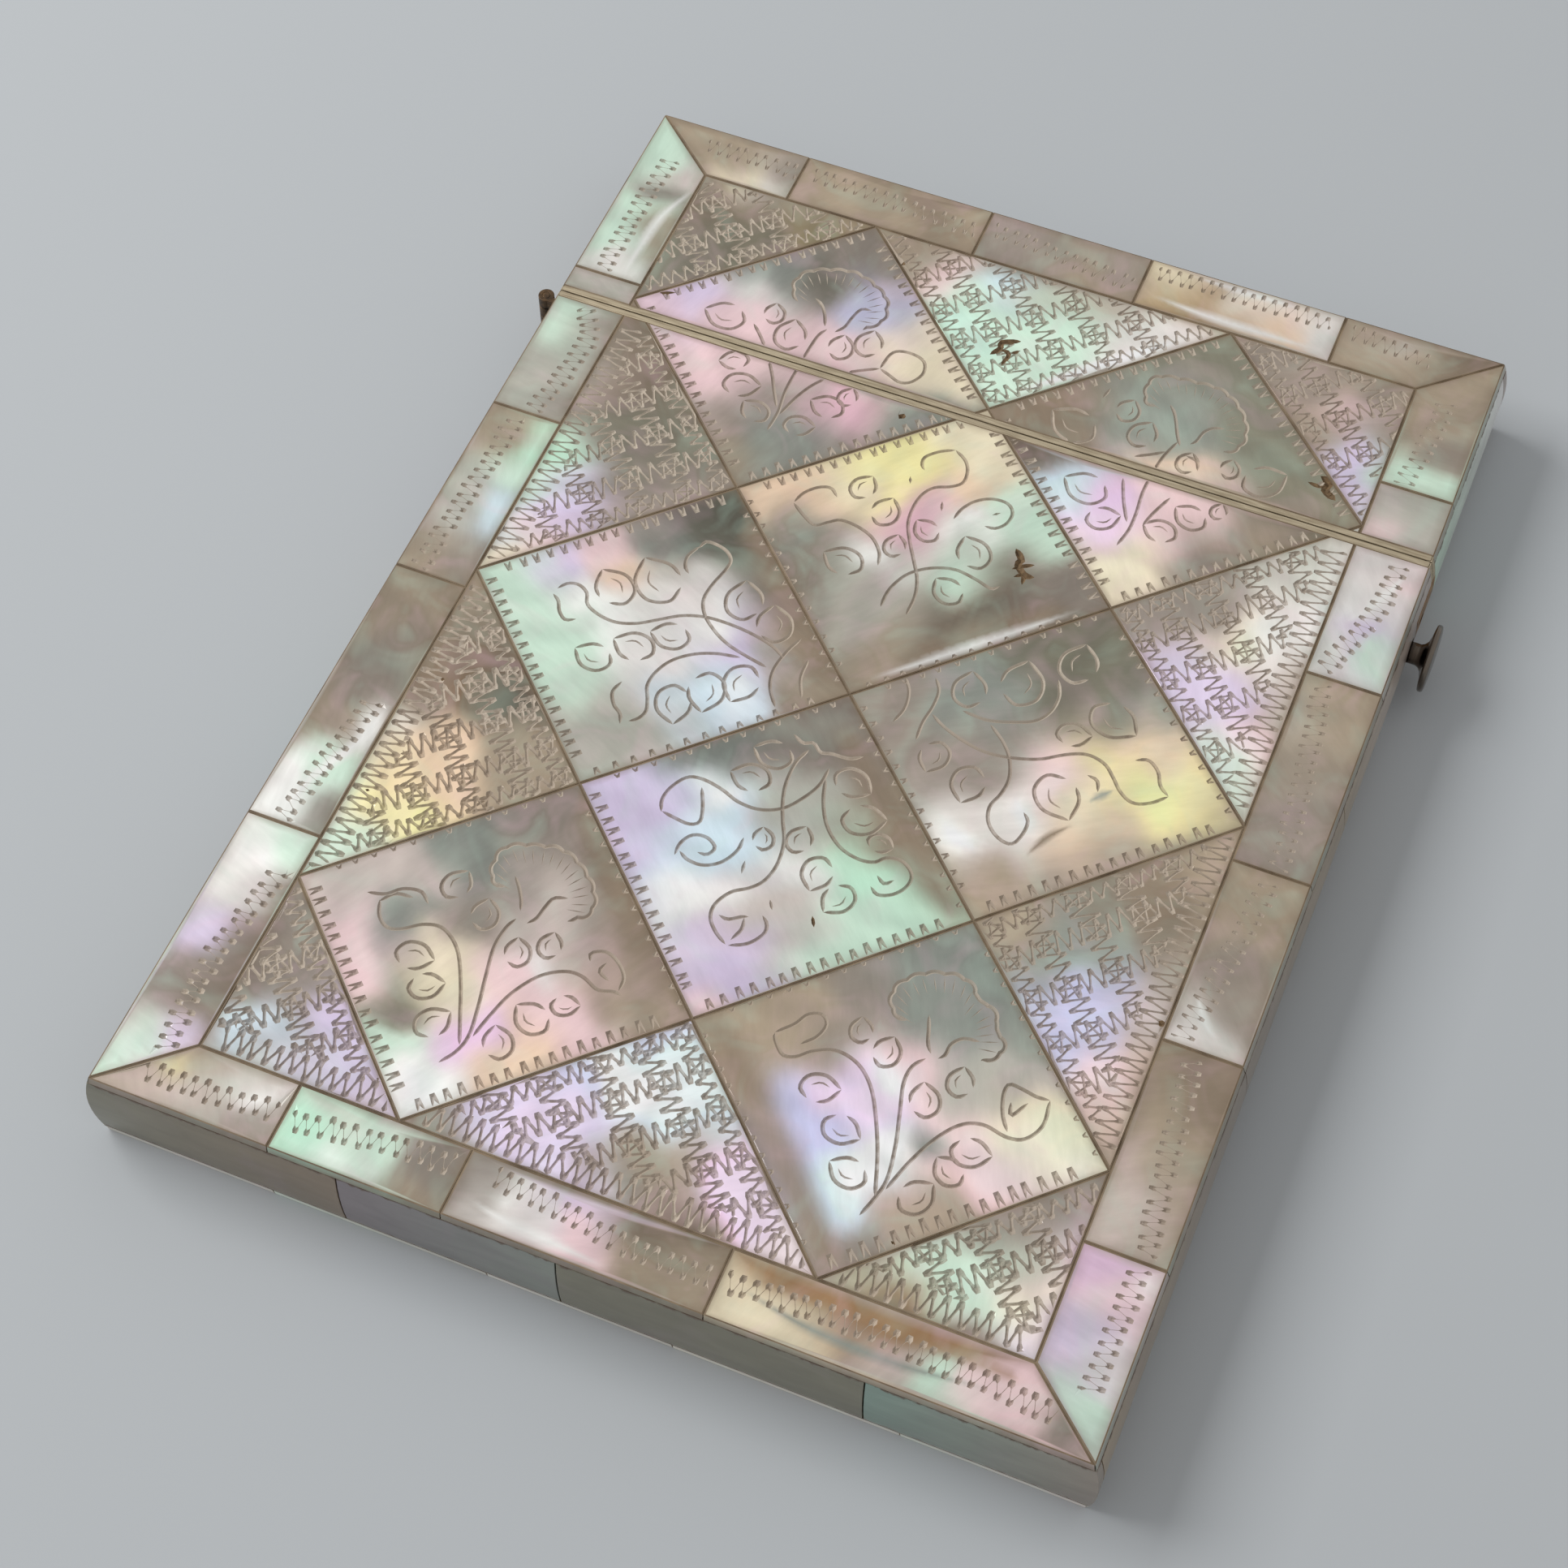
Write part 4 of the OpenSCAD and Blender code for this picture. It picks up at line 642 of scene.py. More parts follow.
def wriggle(path, height, pitch, widths, rng):
    """Wriggle work along a path. The tool rocks to the other side every half pitch, digs a dot on
    both sides of the 0.1 mm heel where it turns and skims between, and a hand's wobble shifts each
    turn. The widths are those of the dots on the left, of the strokes, and of the dots on the
    right."""
    path = smooth_line(path, 0.5) if len(path) > 2 else np.asarray(path, float)
    count = max(3, round(run_along(path)[-1] / pitch * 2) + 1)
    turns = evenly(path, count)
    along = units(np.gradient(turns, axis=0))
    left = np.arange(count) % 2 == 0
    side = np.where(left, 0.5, -0.5) * height * rng.uniform(0.86, 1.1, count)
    turns += side[:, None] * turned_left(along) + rng.normal(0, WOBBLE, (count, 2))
    dig = np.where(left, widths[0], widths[2]) / 2
    stroke = np.diff(turns, axis=0)
    line = np.zeros((count, 6, 3))
    line[:, 0, :2], line[:, 1, :2] = turns - 0.05 * along, turns + 0.05 * along
    line[:, :2, 2] = 0.65 * dig[:, None]
    for k, share in ((2, 0.14), (3, 0.32), (4, 0.68), (5, 0.86)):
        line[:-1, k, :2] = turns[:-1] + share * stroke
    line[:-1, 2, 2], line[:-1, 5, 2] = dig[:-1], dig[1:]
    line[:, 3:5, 2] = widths[1] / 2
    return line.reshape(-1, 3)[:-4]


def leaf(centre, tip, size, width, hand):
    """A teardrop leaf: a long edge from the tip round the foot, a short edge down the other side,
    and a light cut that shades its middle. The hand is 1 or -1 and mirrors it."""
    edges = (
        ([(0.62, 0), (0.2, 0.42), (-0.3, 0.42), (-0.55, 0.05), (-0.35, -0.3)], 1.0),
        ([(0.62, 0), (0.25, -0.35), (-0.1, -0.42)], 1.0),
        ([(-0.25, 0.12), (0.05, 0.2), (0.3, 0.05)], 0.5),
    )
    cuts = []
    for edge, share in edges:
        line = turned(np.array(edge) * [size, size * hand], math.radians(tip)) + centre
        cuts.append(cut(smooth_line(line), width * 1.15 * share))
    return cuts


def flower(outline, width):
    """The scalloped edge of a flower, in arcs 1.5 mm long and 0.2 mm high, and hair-thin ribs that run
    1.5 mm inwards from it towards the flower's foot."""
    line = smooth_line(on_face(outline), 0.12)
    normal = units(turned_left(np.gradient(line, axis=0)))
    run = run_along(line)
    frill = line + (0.2 * np.abs(np.sin(run * math.pi / 1.5)) - 0.1)[:, None] * normal
    foot = (line[0] + line[-1]) / 2
    cuts = [cut(frill, width * 1.2)]
    for start in line[np.searchsorted(run, np.arange(1.1, run[-1] - 1, 0.9))]:
        inwards = (foot - start) / np.linalg.norm(foot - start)
        cuts.append(cut(start + np.array([[0.3], [1.0], [1.8]]) * inwards, width * 0.4))
    return cuts


def spray(place, width):
    """Cuts of one engraved spray: its flower, its stems and lesser outlines, then its leaves."""
    petals, stems, leaves = SPRAYS[place]
    cuts = [part for outline in petals for part in flower(outline, width)]
    cuts += [cut(smooth_line(on_face(stem)), width * 1.1) for stem in stems]
    for i, (x, y, tip, size) in enumerate(leaves):
        cuts += leaf(on_face((x, y)), tip, size, width, -1 if i % 2 else 1)
    return cuts


def edge_teeth(start, end, height, width, rng):
    """A row of teeth along one edge of a lozenge. Each is cut from one foot over a bold tip to the
    other foot, 0.56 mm away; they stand 1.15 mm apart where they are tall and else 1.5 mm, and
    none within 1.7 mm of the edge's ends."""
    length = np.linalg.norm(end - start)
    along = (end - start) / length
    inwards = np.array([-along[1], along[0]])
    shape = np.array([(-0.28, 0), (-0.2, 0.3), (-0.05, 1), (0.05, 1), (0.2, 0.3), (0.28, 0)])
    half = np.array([0, 0.32, 0.7, 0.7, 0.32, 0]) * width * min(1, 0.4 + height * 0.7)
    cuts = []
    for at in np.arange(1.7, length - 1.7, 1.15 if height > 0.7 else 1.5):
        places = shape * [1, height * rng.uniform(0.86, 1.1)] + [at + rng.normal(0, WOBBLE), 0.15]
        cuts.append(np.column_stack([start + places @ np.stack([along, inwards]), half]))
    return cuts


def crossed_bands(outline, width, rng):
    """Bands of wriggle work across a triangle that run along both directions of the lozenges'
    edges: a low one beside the edge, then full ones 3.9 mm apart."""
    cuts = []
    for slant in (1, -1):
        along = np.array([PITCH_X, slant * PITCH_Y]) / math.hypot(PITCH_X, PITCH_Y)
        across = np.array([-along[1], along[0]])
        place = np.sort(outline @ across)
        reach = outline @ along
        from_low = place[1] - place[0] < place[-1] - place[-2]
        rows = np.array([1.1, 4.0, 7.9, 11.8, 15.7])
        for row in rows[rows < place[-1] - place[0] - 0.8]:
            at = across * (place[0] + row if from_low else place[-1] - row)
            path = [at + along * reach.min(), at + along * reach.max()]
            widths = np.array([1.6, 0.9, 1.6]) * width
            cuts.append(wriggle(path, 1.3 if row < 2 else 1.8, 1.05, widths, rng))
    return cuts


def triangle_work(outline, place, width, rng):
    """The crossed bands of a triangle, and in the lower and side ones a taller row along the border,
    2.2 mm deep, where the bands stop."""
    if place not in BOLD_TRIANGLES:
        width *= 0.75
    low, high = outline.min(0) + 1.2, outline.max(0) - 1.2
    trimmed = outline.copy()
    if place[1] == 6:
        base = ((low[0], low[1]), (high[0], low[1]))
        trimmed[:, 1] = np.maximum(trimmed[:, 1], low[1] + 1)
    elif place[0] == 0 and place[1]:
        base = ((low[0], high[1]), (low[0], low[1]))
        trimmed[:, 0] = np.maximum(trimmed[:, 0], low[0] + 1)
    elif place[0] == 4 and place[1]:
        base = ((high[0], low[1]), (high[0], high[1]))
        trimmed[:, 0] = np.minimum(trimmed[:, 0], high[0] - 1)
    else:
        return crossed_bands(outline, width, rng)
    inner = hull(np.unique(trimmed.round(6), axis=0))
    cuts = [part for band in crossed_bands(outline, width, rng) for part in clipped(band, inner, 0)]
    return cuts + [wriggle(base, 2.0, 1.1, np.array([1.6, 0.8, 1.6]) * width, rng)]


def border_bands(outline, back, width, rng):
    """The wriggled bands that start in a plaque of the border; on the back they are mirrored."""
    cuts = []
    for strength, points in BANDS:
        path = on_face(points) * [-1 if back else 1, 1]
        if inside_by(path[:1], outline)[0] > 0:
            widths = np.array([1.4, 0.15, 1.2]) * width * strength
            cuts.append(wriggle(path, 1.6, 0.95, widths, rng))
    return cuts


def cuts_for(upper, place, back, look, rng):
    """The engraving of one plaque: a spray and rows of teeth in a lozenge, crossed bands in a
    triangle, a wriggled band in a border strip."""
    if place is None:
        return border_bands(upper, back, look.cut_width, rng)
    if place not in SPRAYS:
        return triangle_work(upper, place, look.cut_width, rng)
    cuts = spray(place, look.cut_width)
    corners = lozenge(place)
    for i, height in enumerate(TEETH[place]):
        cuts += edge_teeth(corners[i], corners[(i + 1) % 4], height, look.cut_width, rng)
    return cuts


# Shell plaques


def lattice_place(point):
    """Column and row of the lozenge, whole or cut by the field's edge, that a point lies in, or None
    in the border."""
    if abs(point[0]) > FIELD_X or abs(point[1]) > FIELD_Y:
        return None
    places = [(c, r) for c in range(5) for r in range(7) if (c + r) % 2 == 0]
    centres = np.array([(-FIELD_X + c * PITCH_X, FIELD_Y - r * PITCH_Y) for c, r in places])
    away = np.abs(centres - point) / [PITCH_X, PITCH_Y]
    return places[int(away.sum(1).argmin())]


def lozenge(place):
    """Whole anticlockwise outline of the lozenge at a place of the lattice."""
    x, y = -FIELD_X + place[0] * PITCH_X, FIELD_Y - place[1] * PITCH_Y
    return np.array([(x, y - PITCH_Y), (x + PITCH_X, y), (x, y + PITCH_Y), (x - PITCH_X, y)])


def face_points(points_mm, back):
    """Model millimetres as (right, up, height) of a face that is looked at from outside."""
    x, y, z = points_mm.T
    return np.stack([-x, y, SHELL_T - z] if back else [x, y, z - CASE_T + SHELL_T], 1)


def model_points(points_face, back):
    """The way back from face_points."""
    u, v, h = points_face.T
    return np.stack([-u, v, SHELL_T - h] if back else [u, v, h + CASE_T - SHELL_T], 1)


def hull(points):
    """Convex anticlockwise outline round flat points, without points that lie on its edges."""
    ring = points[geometry.convex_hull_2d([tuple(p) for p in points])]
    a, b = ring - np.roll(ring, 1, 0), np.roll(ring, -1, 0) - ring
    turn = a[:, 0] * b[:, 1] - a[:, 1] * b[:, 0]
    ring = ring[np.abs(turn) > 1e-5]
    x, y = ring.T
    area = (x * np.roll(y, -1) - y * np.roll(x, -1)).sum()
    return ring if area > 0 else ring[::-1]


def islands(mesh):
    """Lists of the vertices of each separate solid in a mesh."""
    group = np.arange(len(mesh.vertices))
    ends = np.array([edge.vertices[:] for edge in mesh.edges])
    while (group[ends[:, 0]] != group[ends[:, 1]]).any():
        lower = group[ends].min(1)
        np.minimum.at(group, ends[:, 0], lower)
        np.minimum.at(group, ends[:, 1], lower)
    return [np.flatnonzero(group == g) for g in np.unique(group)]


def joined_mesh(node):
    """A CAD node's mesh to work on, whose faces share their corners."""
    mesh = bmesh.new()
    mesh.from_mesh(frame["nodes"][node].data)
    bmesh.ops.remove_doubles(mesh, verts=mesh.verts, dist=1e-7)
    return mesh


def mesh_data(mesh, name):
    """The worked mesh as named data for an object."""
    data = bpy.data.meshes.new(name)
    mesh.to_mesh(data)
    mesh.free()
    return data


def plaques_of(node, back):
    """Upper and lower outline of every plaque in a CAD node, corner by corner."""
    mesh, found = mesh_data(joined_mesh(node), "joined_" + node), []
    places = face_points(np.array([v.co for v in mesh.vertices]) / MM, back)
    for island in islands(mesh):
        points = places[island]
        upper = hull(points[points[:, 2] > SHELL_T - 1e-3][:, :2])
        lower = hull(points[points[:, 2] < 1e-3][:, :2])
        nearest = np.linalg.norm(upper[:, None] - lower[None], axis=-1).argmin(1)
        found.append((upper, lower[nearest]))
    bpy.data.meshes.remove(mesh)
    return sorted(found, key=lambda pair: (round(pair[0][:, 1].mean(), 1), pair[0][:, 0].mean()))


def rails(line, half):
    """Both edges of a cut: each inner point moves out along the mitre of its two neighbours by half
    the cut's width there."""
    step = np.diff(line, axis=0)
    step /= np.maximum(np.linalg.norm(step, axis=1), 1e-9)[:, None]
    normal = turned_left(step)
    spread = 1 + (normal[:-1] * normal[1:]).sum(1)
    mitre = (normal[:-1] + normal[1:]) / np.maximum(spread, 0.4)[:, None] * half[1:-1, None]
    return line[1:-1] + mitre, line[1:-1] - mitre


def track_room(points, segments):
    """How far flat points lie inside the tracks of cut segments, below 0 outside: over all the
    segments, the most of the half width at the nearest place less the distance to it."""
    a, b, ha, hb = segments[:, :2], segments[:, 2:4], segments[:, 4], segments[:, 5]
    ahead = b - a
    length = np.maximum((ahead**2).sum(1), 1e-12)
    share = np.clip(((points[:, None] - a) * ahead).sum(-1) / length, 0, 1)
    away = np.linalg.norm(points[:, None] - a - share[..., None] * ahead, axis=-1)
    return (ha + share * (hb - ha) - away).max(1)


def cut_depth(points, segments, slope):
    """Depth of the cuts at flat points, which grows evenly from a cut's edges to its middle. The
    points are taken from left to right, each few hundred against the segments that reach to within
    0.6 mm of their strip."""
    depth = np.zeros(len(points))
    left, right = segments[:, [0, 2]].min(1) - 0.6, segments[:, [0, 2]].max(1) + 0.6
    for part in np.array_split(np.argsort(points[:, 0]), len(points) // 300 + 1):
        near = segments[(right > points[part[0], 0]) & (left < points[part[-1], 0])]
        if len(near):
            depth[part] = slope * np.maximum(track_room(points[part], near), 0)
    return depth


def cut_segments(cuts):
    """Rows of two places and two half widths, one for each step of each cut."""
    rows = [np.hstack([c[:-1, :2], c[1:, :2], c[:-1, 2:], c[1:, 2:]]) for c in cuts]
    return np.vstack(rows) if rows else np.zeros((0, 6))


def runs_inside(cuts, outline, margin):
    """The runs of cuts that stay the margin inside an outline and are long enough to keep. Each has
    three points or more and ends in a point."""
    kept = []
    for line in cuts:
        for run in clipped(line, outline, margin):
            if run_along(run)[-1] < SHORTEST_CUT:
                continue
            if len(run) == 2:
                run = np.vstack([run[0], run.mean(0), run[1]])
            run[[0, -1], 2] = 0
            kept.append(run)
    return kept


def cut_tracks(runs, total):
    """Points of the cuts' floors and edges, and the pairs of points that each cut's lines join. The
    points are numbered on from the total."""
    points, edges = [], []
    for run in runs:
        left, right = rails(run[:, :2], run[:, 2])
        n, m = len(run), len(left)
        spine = total + np.arange(n)
        chains = [spine]
        for k in range(2):
            side = total + n + k * m + np.arange(m)
            chains.append(np.concatenate([spine[:1], side, spine[-1:]]))
        edges += [tuple(pair) for c in chains for pair in np.stack([c[:-1], c[1:]], 1).tolist()]
        points += [run[:, :2], left, right]
        total += n + 2 * m
    return points, edges


def engraved_plaque(upper, lower, cuts, flaws, loose, look):
    """Closed mesh of one plaque and the kind of each top face: 0 polished, 1 cut, 2 stained flaw,
    3 the rim, which the joint's glue covers.
    The top is a constrained triangulation of its outline, a ring just inside it, the cuts' edges
    and floors, the loose points and a grid for the colours. Its height is the shell's thickness
    less the depth of the cuts and less a small rounding at the rim. Straight walls join it to the
    lower outline."""
    ring = drawn_in(upper, look.edge_width)
    count = len(upper)
    around = [(i, (i + 1) % count) for i in range(count)]
    kept_cuts, kept_flaws = (runs_inside(c, upper, look.edge_width + CUT_MARGIN) for c in (cuts, flaws))
    tracks, edges = cut_tracks(kept_cuts + kept_flaws, 2 * count)
    low, high = ring.min(0), ring.max(0)
    grid = np.stack(np.meshgrid(*(np.arange(a + 0.3, b, look.grid) for a, b in zip(low, high))), -1)
    grid = np.vstack([grid.reshape(-1, 2), *loose])
    flat = np.vstack([upper, ring, *tracks, grid[inside_by(grid, ring) > GRID_ROOM]])
    edges = around + [(count + i, count + j) for i, j in around] + edges
    made = geometry.delaunay_2d_cdt([Vector(p) for p in flat], edges, [], 0, 1e-5, True)
    flat = np.array([tuple(v) for v in made[0]])
    # The point of the triangulation that each corner of the upper outline has become
    source = np.concatenate(made[3]).astype(int)
    became = np.repeat(np.arange(len(flat)), [len(found) for found in made[3]])
    rim = np.zeros(count, int)
    rim[source[source < count]] = became[source < count]
    faces = np.array(made[2])
    a, b, c = flat[faces[:, 0]], flat[faces[:, 1]], flat[faces[:, 2]]
    area = (b[:, 0] - a[:, 0]) * (c[:, 1] - a[:, 1]) - (b[:, 1] - a[:, 1]) * (c[:, 0] - a[:, 0])
    faces[area < 0] = faces[area < 0][:, ::-1]
    faces = faces[np.abs(area) > 1e-9]
    cut_rows, flaw_rows = cut_segments(kept_cuts), cut_segments(kept_flaws)
    depth = cut_depth(flat, np.vstack([cut_rows, flaw_rows]), look.cut_slope)
    round_off = look.edge_drop * np.clip(1 - inside_by(flat, upper) / look.edge_width, 0, 1) ** 2
    height = SHELL_T - np.minimum(depth, DEEPEST_CUT) - round_off
    middle = flat[faces].mean(1)
    in_cut, in_flaw = (
        cut_depth(middle, rows, look.cut_slope) > MIDDLE_CUT for rows in (cut_rows, flaw_rows)
    )
    kinds = ((depth[faces].mean(1) > CORNERS_CUT) | in_cut).astype(int)
    kinds[in_flaw] = 2
    kinds[inside_by(middle, upper) < look.edge_width * 0.9] = 3
    base = len(flat)
    vertices = np.vstack([np.column_stack([flat, height]), np.column_stack([lower, np.zeros(count)])])
    after = (np.arange(count) + 1) % count
    walls = np.stack([rim, base + np.arange(count), base + after, rim[after]], 1)
    floor = (base + np.arange(count))[::-1]
    return vertices, faces.tolist() + walls.tolist() + [floor.tolist()], kinds


def pearl_colours(points, clouds, streaks, seed):
    """Colour at each point, the shell's tone with painted sheen: a mean of the plaque's clouds, each
    weighing exp(-2 sqrt((d / reach)^2 + 0.1)). Distances are taken after two slow waves have bent the
    plaque, as the shell grew. Each point's lightness is then moved a third further from the mean,
    which strengthens the painted highlights and deepens the dark tones. Each streak covers a share
    0.9 exp(-(d / width)^3) of what lies under it. It narrows to both of its ends, as d grows there.
    The white streaks are painted highlights."""
    rng = np.random.default_rng(seed)
    bent = points.copy()
    for length, swing in ((11.0, 0.9), (4.5, 0.45)):
        for axis in (0, 1):
            lean = rng.normal(size=2)
            lean /= np.linalg.norm(lean)
            bent[:, axis] += swing * np.sin(points @ lean * 2 * math.pi / length + rng.uniform(0, 6))
    tones = np.array([linear(TONES[c[0]])[:3] for c in clouds])
    centres = on_face([(c[1], c[2]) for c in clouds])
    reach = np.array([c[3] for c in clouds])
    away = np.linalg.norm(bent[:, None] - centres[None], axis=-1) / reach
    weight = np.exp(-2 * np.sqrt(away**2 + 0.1))
    colour = (weight[..., None] * tones).sum(1) / weight.sum(1)[:, None]
    light = colour.mean(1)
    colour *= (1 + 0.35 * (light - light.mean()) / light)[:, None]
    # The distance to a streak is what a cut along it, this many mm wide to each side, lacks in depth
    far = 9
    for tone, width, line in streaks:
        run = run_along(line)
        reach = far - 1.4 * min(width, NARROW) * (2 * run / run[-1] - 1) ** 2
        away = far - cut_depth(points, cut_segments([np.column_stack([line, reach])]), 1.0)
        share = 0.9 * np.exp(-((away / width) ** 3))[:, None]
        colour = colour * (1 - share) + share * linear(TONES[tone])[:3]
    return colour


def soiled(colours, points, outline):
    """Colours browned along a plaque's edge, where dirt and glue have crept in: a share
    0.5 exp(-(d / 0.4)^2) of umber at d mm from the edge, and 0.85 at the plaque's foot."""
    share = 0.5 * np.exp(-((inside_by(points[:, :2], outline) / 0.4) ** 2))[:, None]
    share[points[:, 2] == 0] = 0.85
    return colours * (1 - share) + share * linear(TONES["umber"])[:3]


def clouds_for(region, back):
    """The clouds whose centres lie in a plaque's region; on the back they are mirrored."""
    seen = [((-1 if back else 1) * (c[1] - HALF_W) + HALF_W, c) for c in CLOUDS]
    mirrored = [(c[0], x, *c[2:]) for x, c in seen]
    room = inside_by(on_face([(c[1], c[2]) for c in mirrored]), region)
    held = [c for c, r in zip(mirrored, room) if r > 0]
    return held or [mirrored[int(room.argmax())]]


def engraved_piece(node, back, look, materials):
    """One piece with all the plaques of a CAD node, which it replaces. Its colours, the shell's tones
    with painted sheen and highlights, lie in the pearl attribute, and the places that its grain is
    counted from in the attribute called lie, which differ from plaque to plaque."""
    vertices, faces, kinds, colours, lies = [], [], [], [], []
    total = 0
    # Streaks of tone and painted highlights; the back has none
    streaks = [] if back else [(tone, width, smooth_line(on_face(p))) for tone, width, p in STREAKS_AND_HIGHLIGHTS]
    flaws = [] if back else [cut(smooth_line(on_face(p)), width) for width, p in FLAWS]
    for upper, lower in plaques_of(node, back):
        place = lattice_place(upper.mean(0))
        region = lozenge(place) if place else upper
        # A number of the plaque's own, which seeds its draws and turns and shifts its grain
        key = (place[0] * 7 + place[1]) if place else int(abs(upper.mean(0) @ [7.3, 3.1]) * 10)
        rng = np.random.default_rng(key + 1000 * back)
        own = [s for s in streaks if inside_by(s[2][:1], region)[0] > 0]
        loose = [beside(line, width) for _, width, line in own if width < NARROW]
        pits = [f for f in flaws if inside_by(f[:1, :2], upper)[0] > 0]
        cuts = cuts_for(upper, place, back, look, rng)
        v, f, kind = engraved_plaque(upper, lower, cuts, pits, loose, look)
        vertices.append(v)
        faces += [[total + k for k in face] for face in f]
        kinds.append(np.concatenate([kind, np.zeros(len(f) - len(kind), int)]))
        colour = pearl_colours(v[:, :2], clouds_for(region, back), own, key)
        # Painted sheen: some plaques made lighter or darker as they caught more or less light
        colour = np.clip(colour * PAINTED_SHEEN_LEVELS.get(place, 1), DARKEST, PALEST)
        colours.append(soiled(colour, v, upper))
        lies.append(np.column_stack([turned(v[:, :2], key * 2.4) + key * 17.0, v[:, 2] + key * 3.0]))
        total += len(v)
    points = model_points(np.vstack(vertices), back)
    piece = new_piece("engraved_" + node, points, faces, BODY_OF[node], materials)
    piece.data.polygons.foreach_set("material_index", np.concatenate(kinds).astype(np.int32))
    paint(piece.data, np.vstack(colours))
    piece.data.attributes.new("lie", "FLOAT_VECTOR", "POINT").data.foreach_set(
        "vector", np.vstack(lies).astype(np.float32).ravel()
    )
    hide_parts(node)
    return piece


def paint(mesh, colours):
    """Puts one linear colour for each vertex into the attribute that the nacre is shaded with."""
    pearl = np.column_stack([colours, np.ones(len(colours))]).astype(np.float32)
    mesh.attributes.new("pearl", "FLOAT_COLOR", "POINT").data.foreach_set("color", pearl.ravel())


def new_piece(name, points_mm, faces, body, materials):
    """A mesh object from points in millimetres, riding on a body."""
    mesh = bpy.data.meshes.new(name)
    mesh.from_pydata((points_mm * MM).tolist(), [], faces)
    for material in materials:
        mesh.materials.append(material)
    piece = bpy.data.objects.new(name, mesh)
    bpy.context.scene.collection.objects.link(piece)
    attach(piece, body)
    return piece


def ring_faces(rings, count, closed):
    """Four-sided faces between rings of points that follow each other. Where the form closes on
    itself, the last ring is joined to the first."""
    i, j = np.meshgrid(np.arange(rings if closed else rings - 1), np.arange(count), indexing="ij")
    next_i, next_j = (i + 1) % rings, (j + 1) % count
    corners = [i * count + j, next_i * count + j, next_i * count + next_j, i * count + next_j]
    return np.stack(corners, -1).reshape(-1, 4)


def glue_beads(nodes, back, body, material):
    """Beads of glue in the joints round the plaques: a flat ring of rectangular section from each
    plaque's edge to the middle of the joint, a little below the surface."""
    vertices, faces, total = [], [], 0
    # The glue stays just inside the case's sides, below its face and above its boards
    limit = [HALF_W - 0.02, HALF_H - 0.02]
    own_side = (-np.inf, BODY_TOP) if body == "body" else (LID_LOW, np.inf)
    top, low = SHELL_T - 0.07, 0.1
    for node in nodes:
        for upper, _ in plaques_of(node, back):
            inner = drawn_in(upper, 0.01)
            outer = drawn_in(upper, -GLUE_LINE / 2)
            outer = np.clip(outer, np.negative(limit), limit)
            outer[:, 1] = np.clip(outer[:, 1], *own_side)
            n = len(upper)
            for ring, height in ((inner, top), (outer, top), (outer, low), (inner, low)):
                vertices.append(np.column_stack([ring, np.full(n, height)]))
            faces += (ring_faces(4, n, True) + total).tolist()
            total += 4 * n
    name = f"{body}_{'back' if back else 'front'}_glue"
    points = model_points(np.vstack(vertices), back)
    return new_piece(name, points, faces, body, [material])


# Materials


def add_node(tree, kind, out=0, **values):
    """A shader node, of which one output is given back. Values in lower case are its settings. The
    others are its inputs, with _ for a space or before a number, and each is a value or the socket
    that feeds it."""
    node = tree.nodes.new("ShaderNode" + kind)
    for name, value in values.items():
        if name[0].islower():
            setattr(node, name, value)
            continue
        socket = node.inputs[int(name[1:]) if name[0] == "_" else name.replace("_", " ")]
        if isinstance(value, bpy.types.NodeSocket):
            tree.links.new(value, socket)
        else:
            socket.default_value = value
    return node.outputs[out] if node.outputs else None


def blank_material(name):
    """A material and its empty node tree."""
    material = bpy.data.materials.new(name)
    material.use_nodes = True
    material.node_tree.nodes.clear()
    return material, material.node_tree


def places_mm(tree):
    """Object coordinates in millimetres, which most patterns are counted in."""
    metres = add_node(tree, "TexCoord", "Object")
    return add_node(tree, "Mapping", Vector=metres, Scale=(1 / MM, 1 / MM, 1 / MM))


def tinted(tree, colour, tint, value, low, high, least=0.0, most=1.0):
    """A colour mixed with a tint. The tint's share goes from the least to the most as the value goes
    from low to high."""
    ends = {"From_Min": low, "From_Max": high, "To_Min": least, "To_Max": most}
    share = add_node(tree, "MapRange", Value=value, **ends)
    return add_node(tree, "Mix", 2, data_type="RGBA", _0=share, _6=colour, _7=tint)


def shaded(tree, colour, value, low, high, least, most):
    """A colour multiplied by a factor, which goes from the least to the most as the value goes from
    low to high."""
    ends = {"From_Min": low, "From_Max": high, "To_Min": least, "To_Max": most}
    factor = add_node(tree, "MapRange", Value=value, **ends)
    grey = add_node(tree, "CombineColor", _0=factor, _1=factor, _2=factor)
    return add_node(tree, "Mix", 2, data_type="RGBA", blend_type="MULTIPLY", _0=1.0, _6=colour, _7=grey)


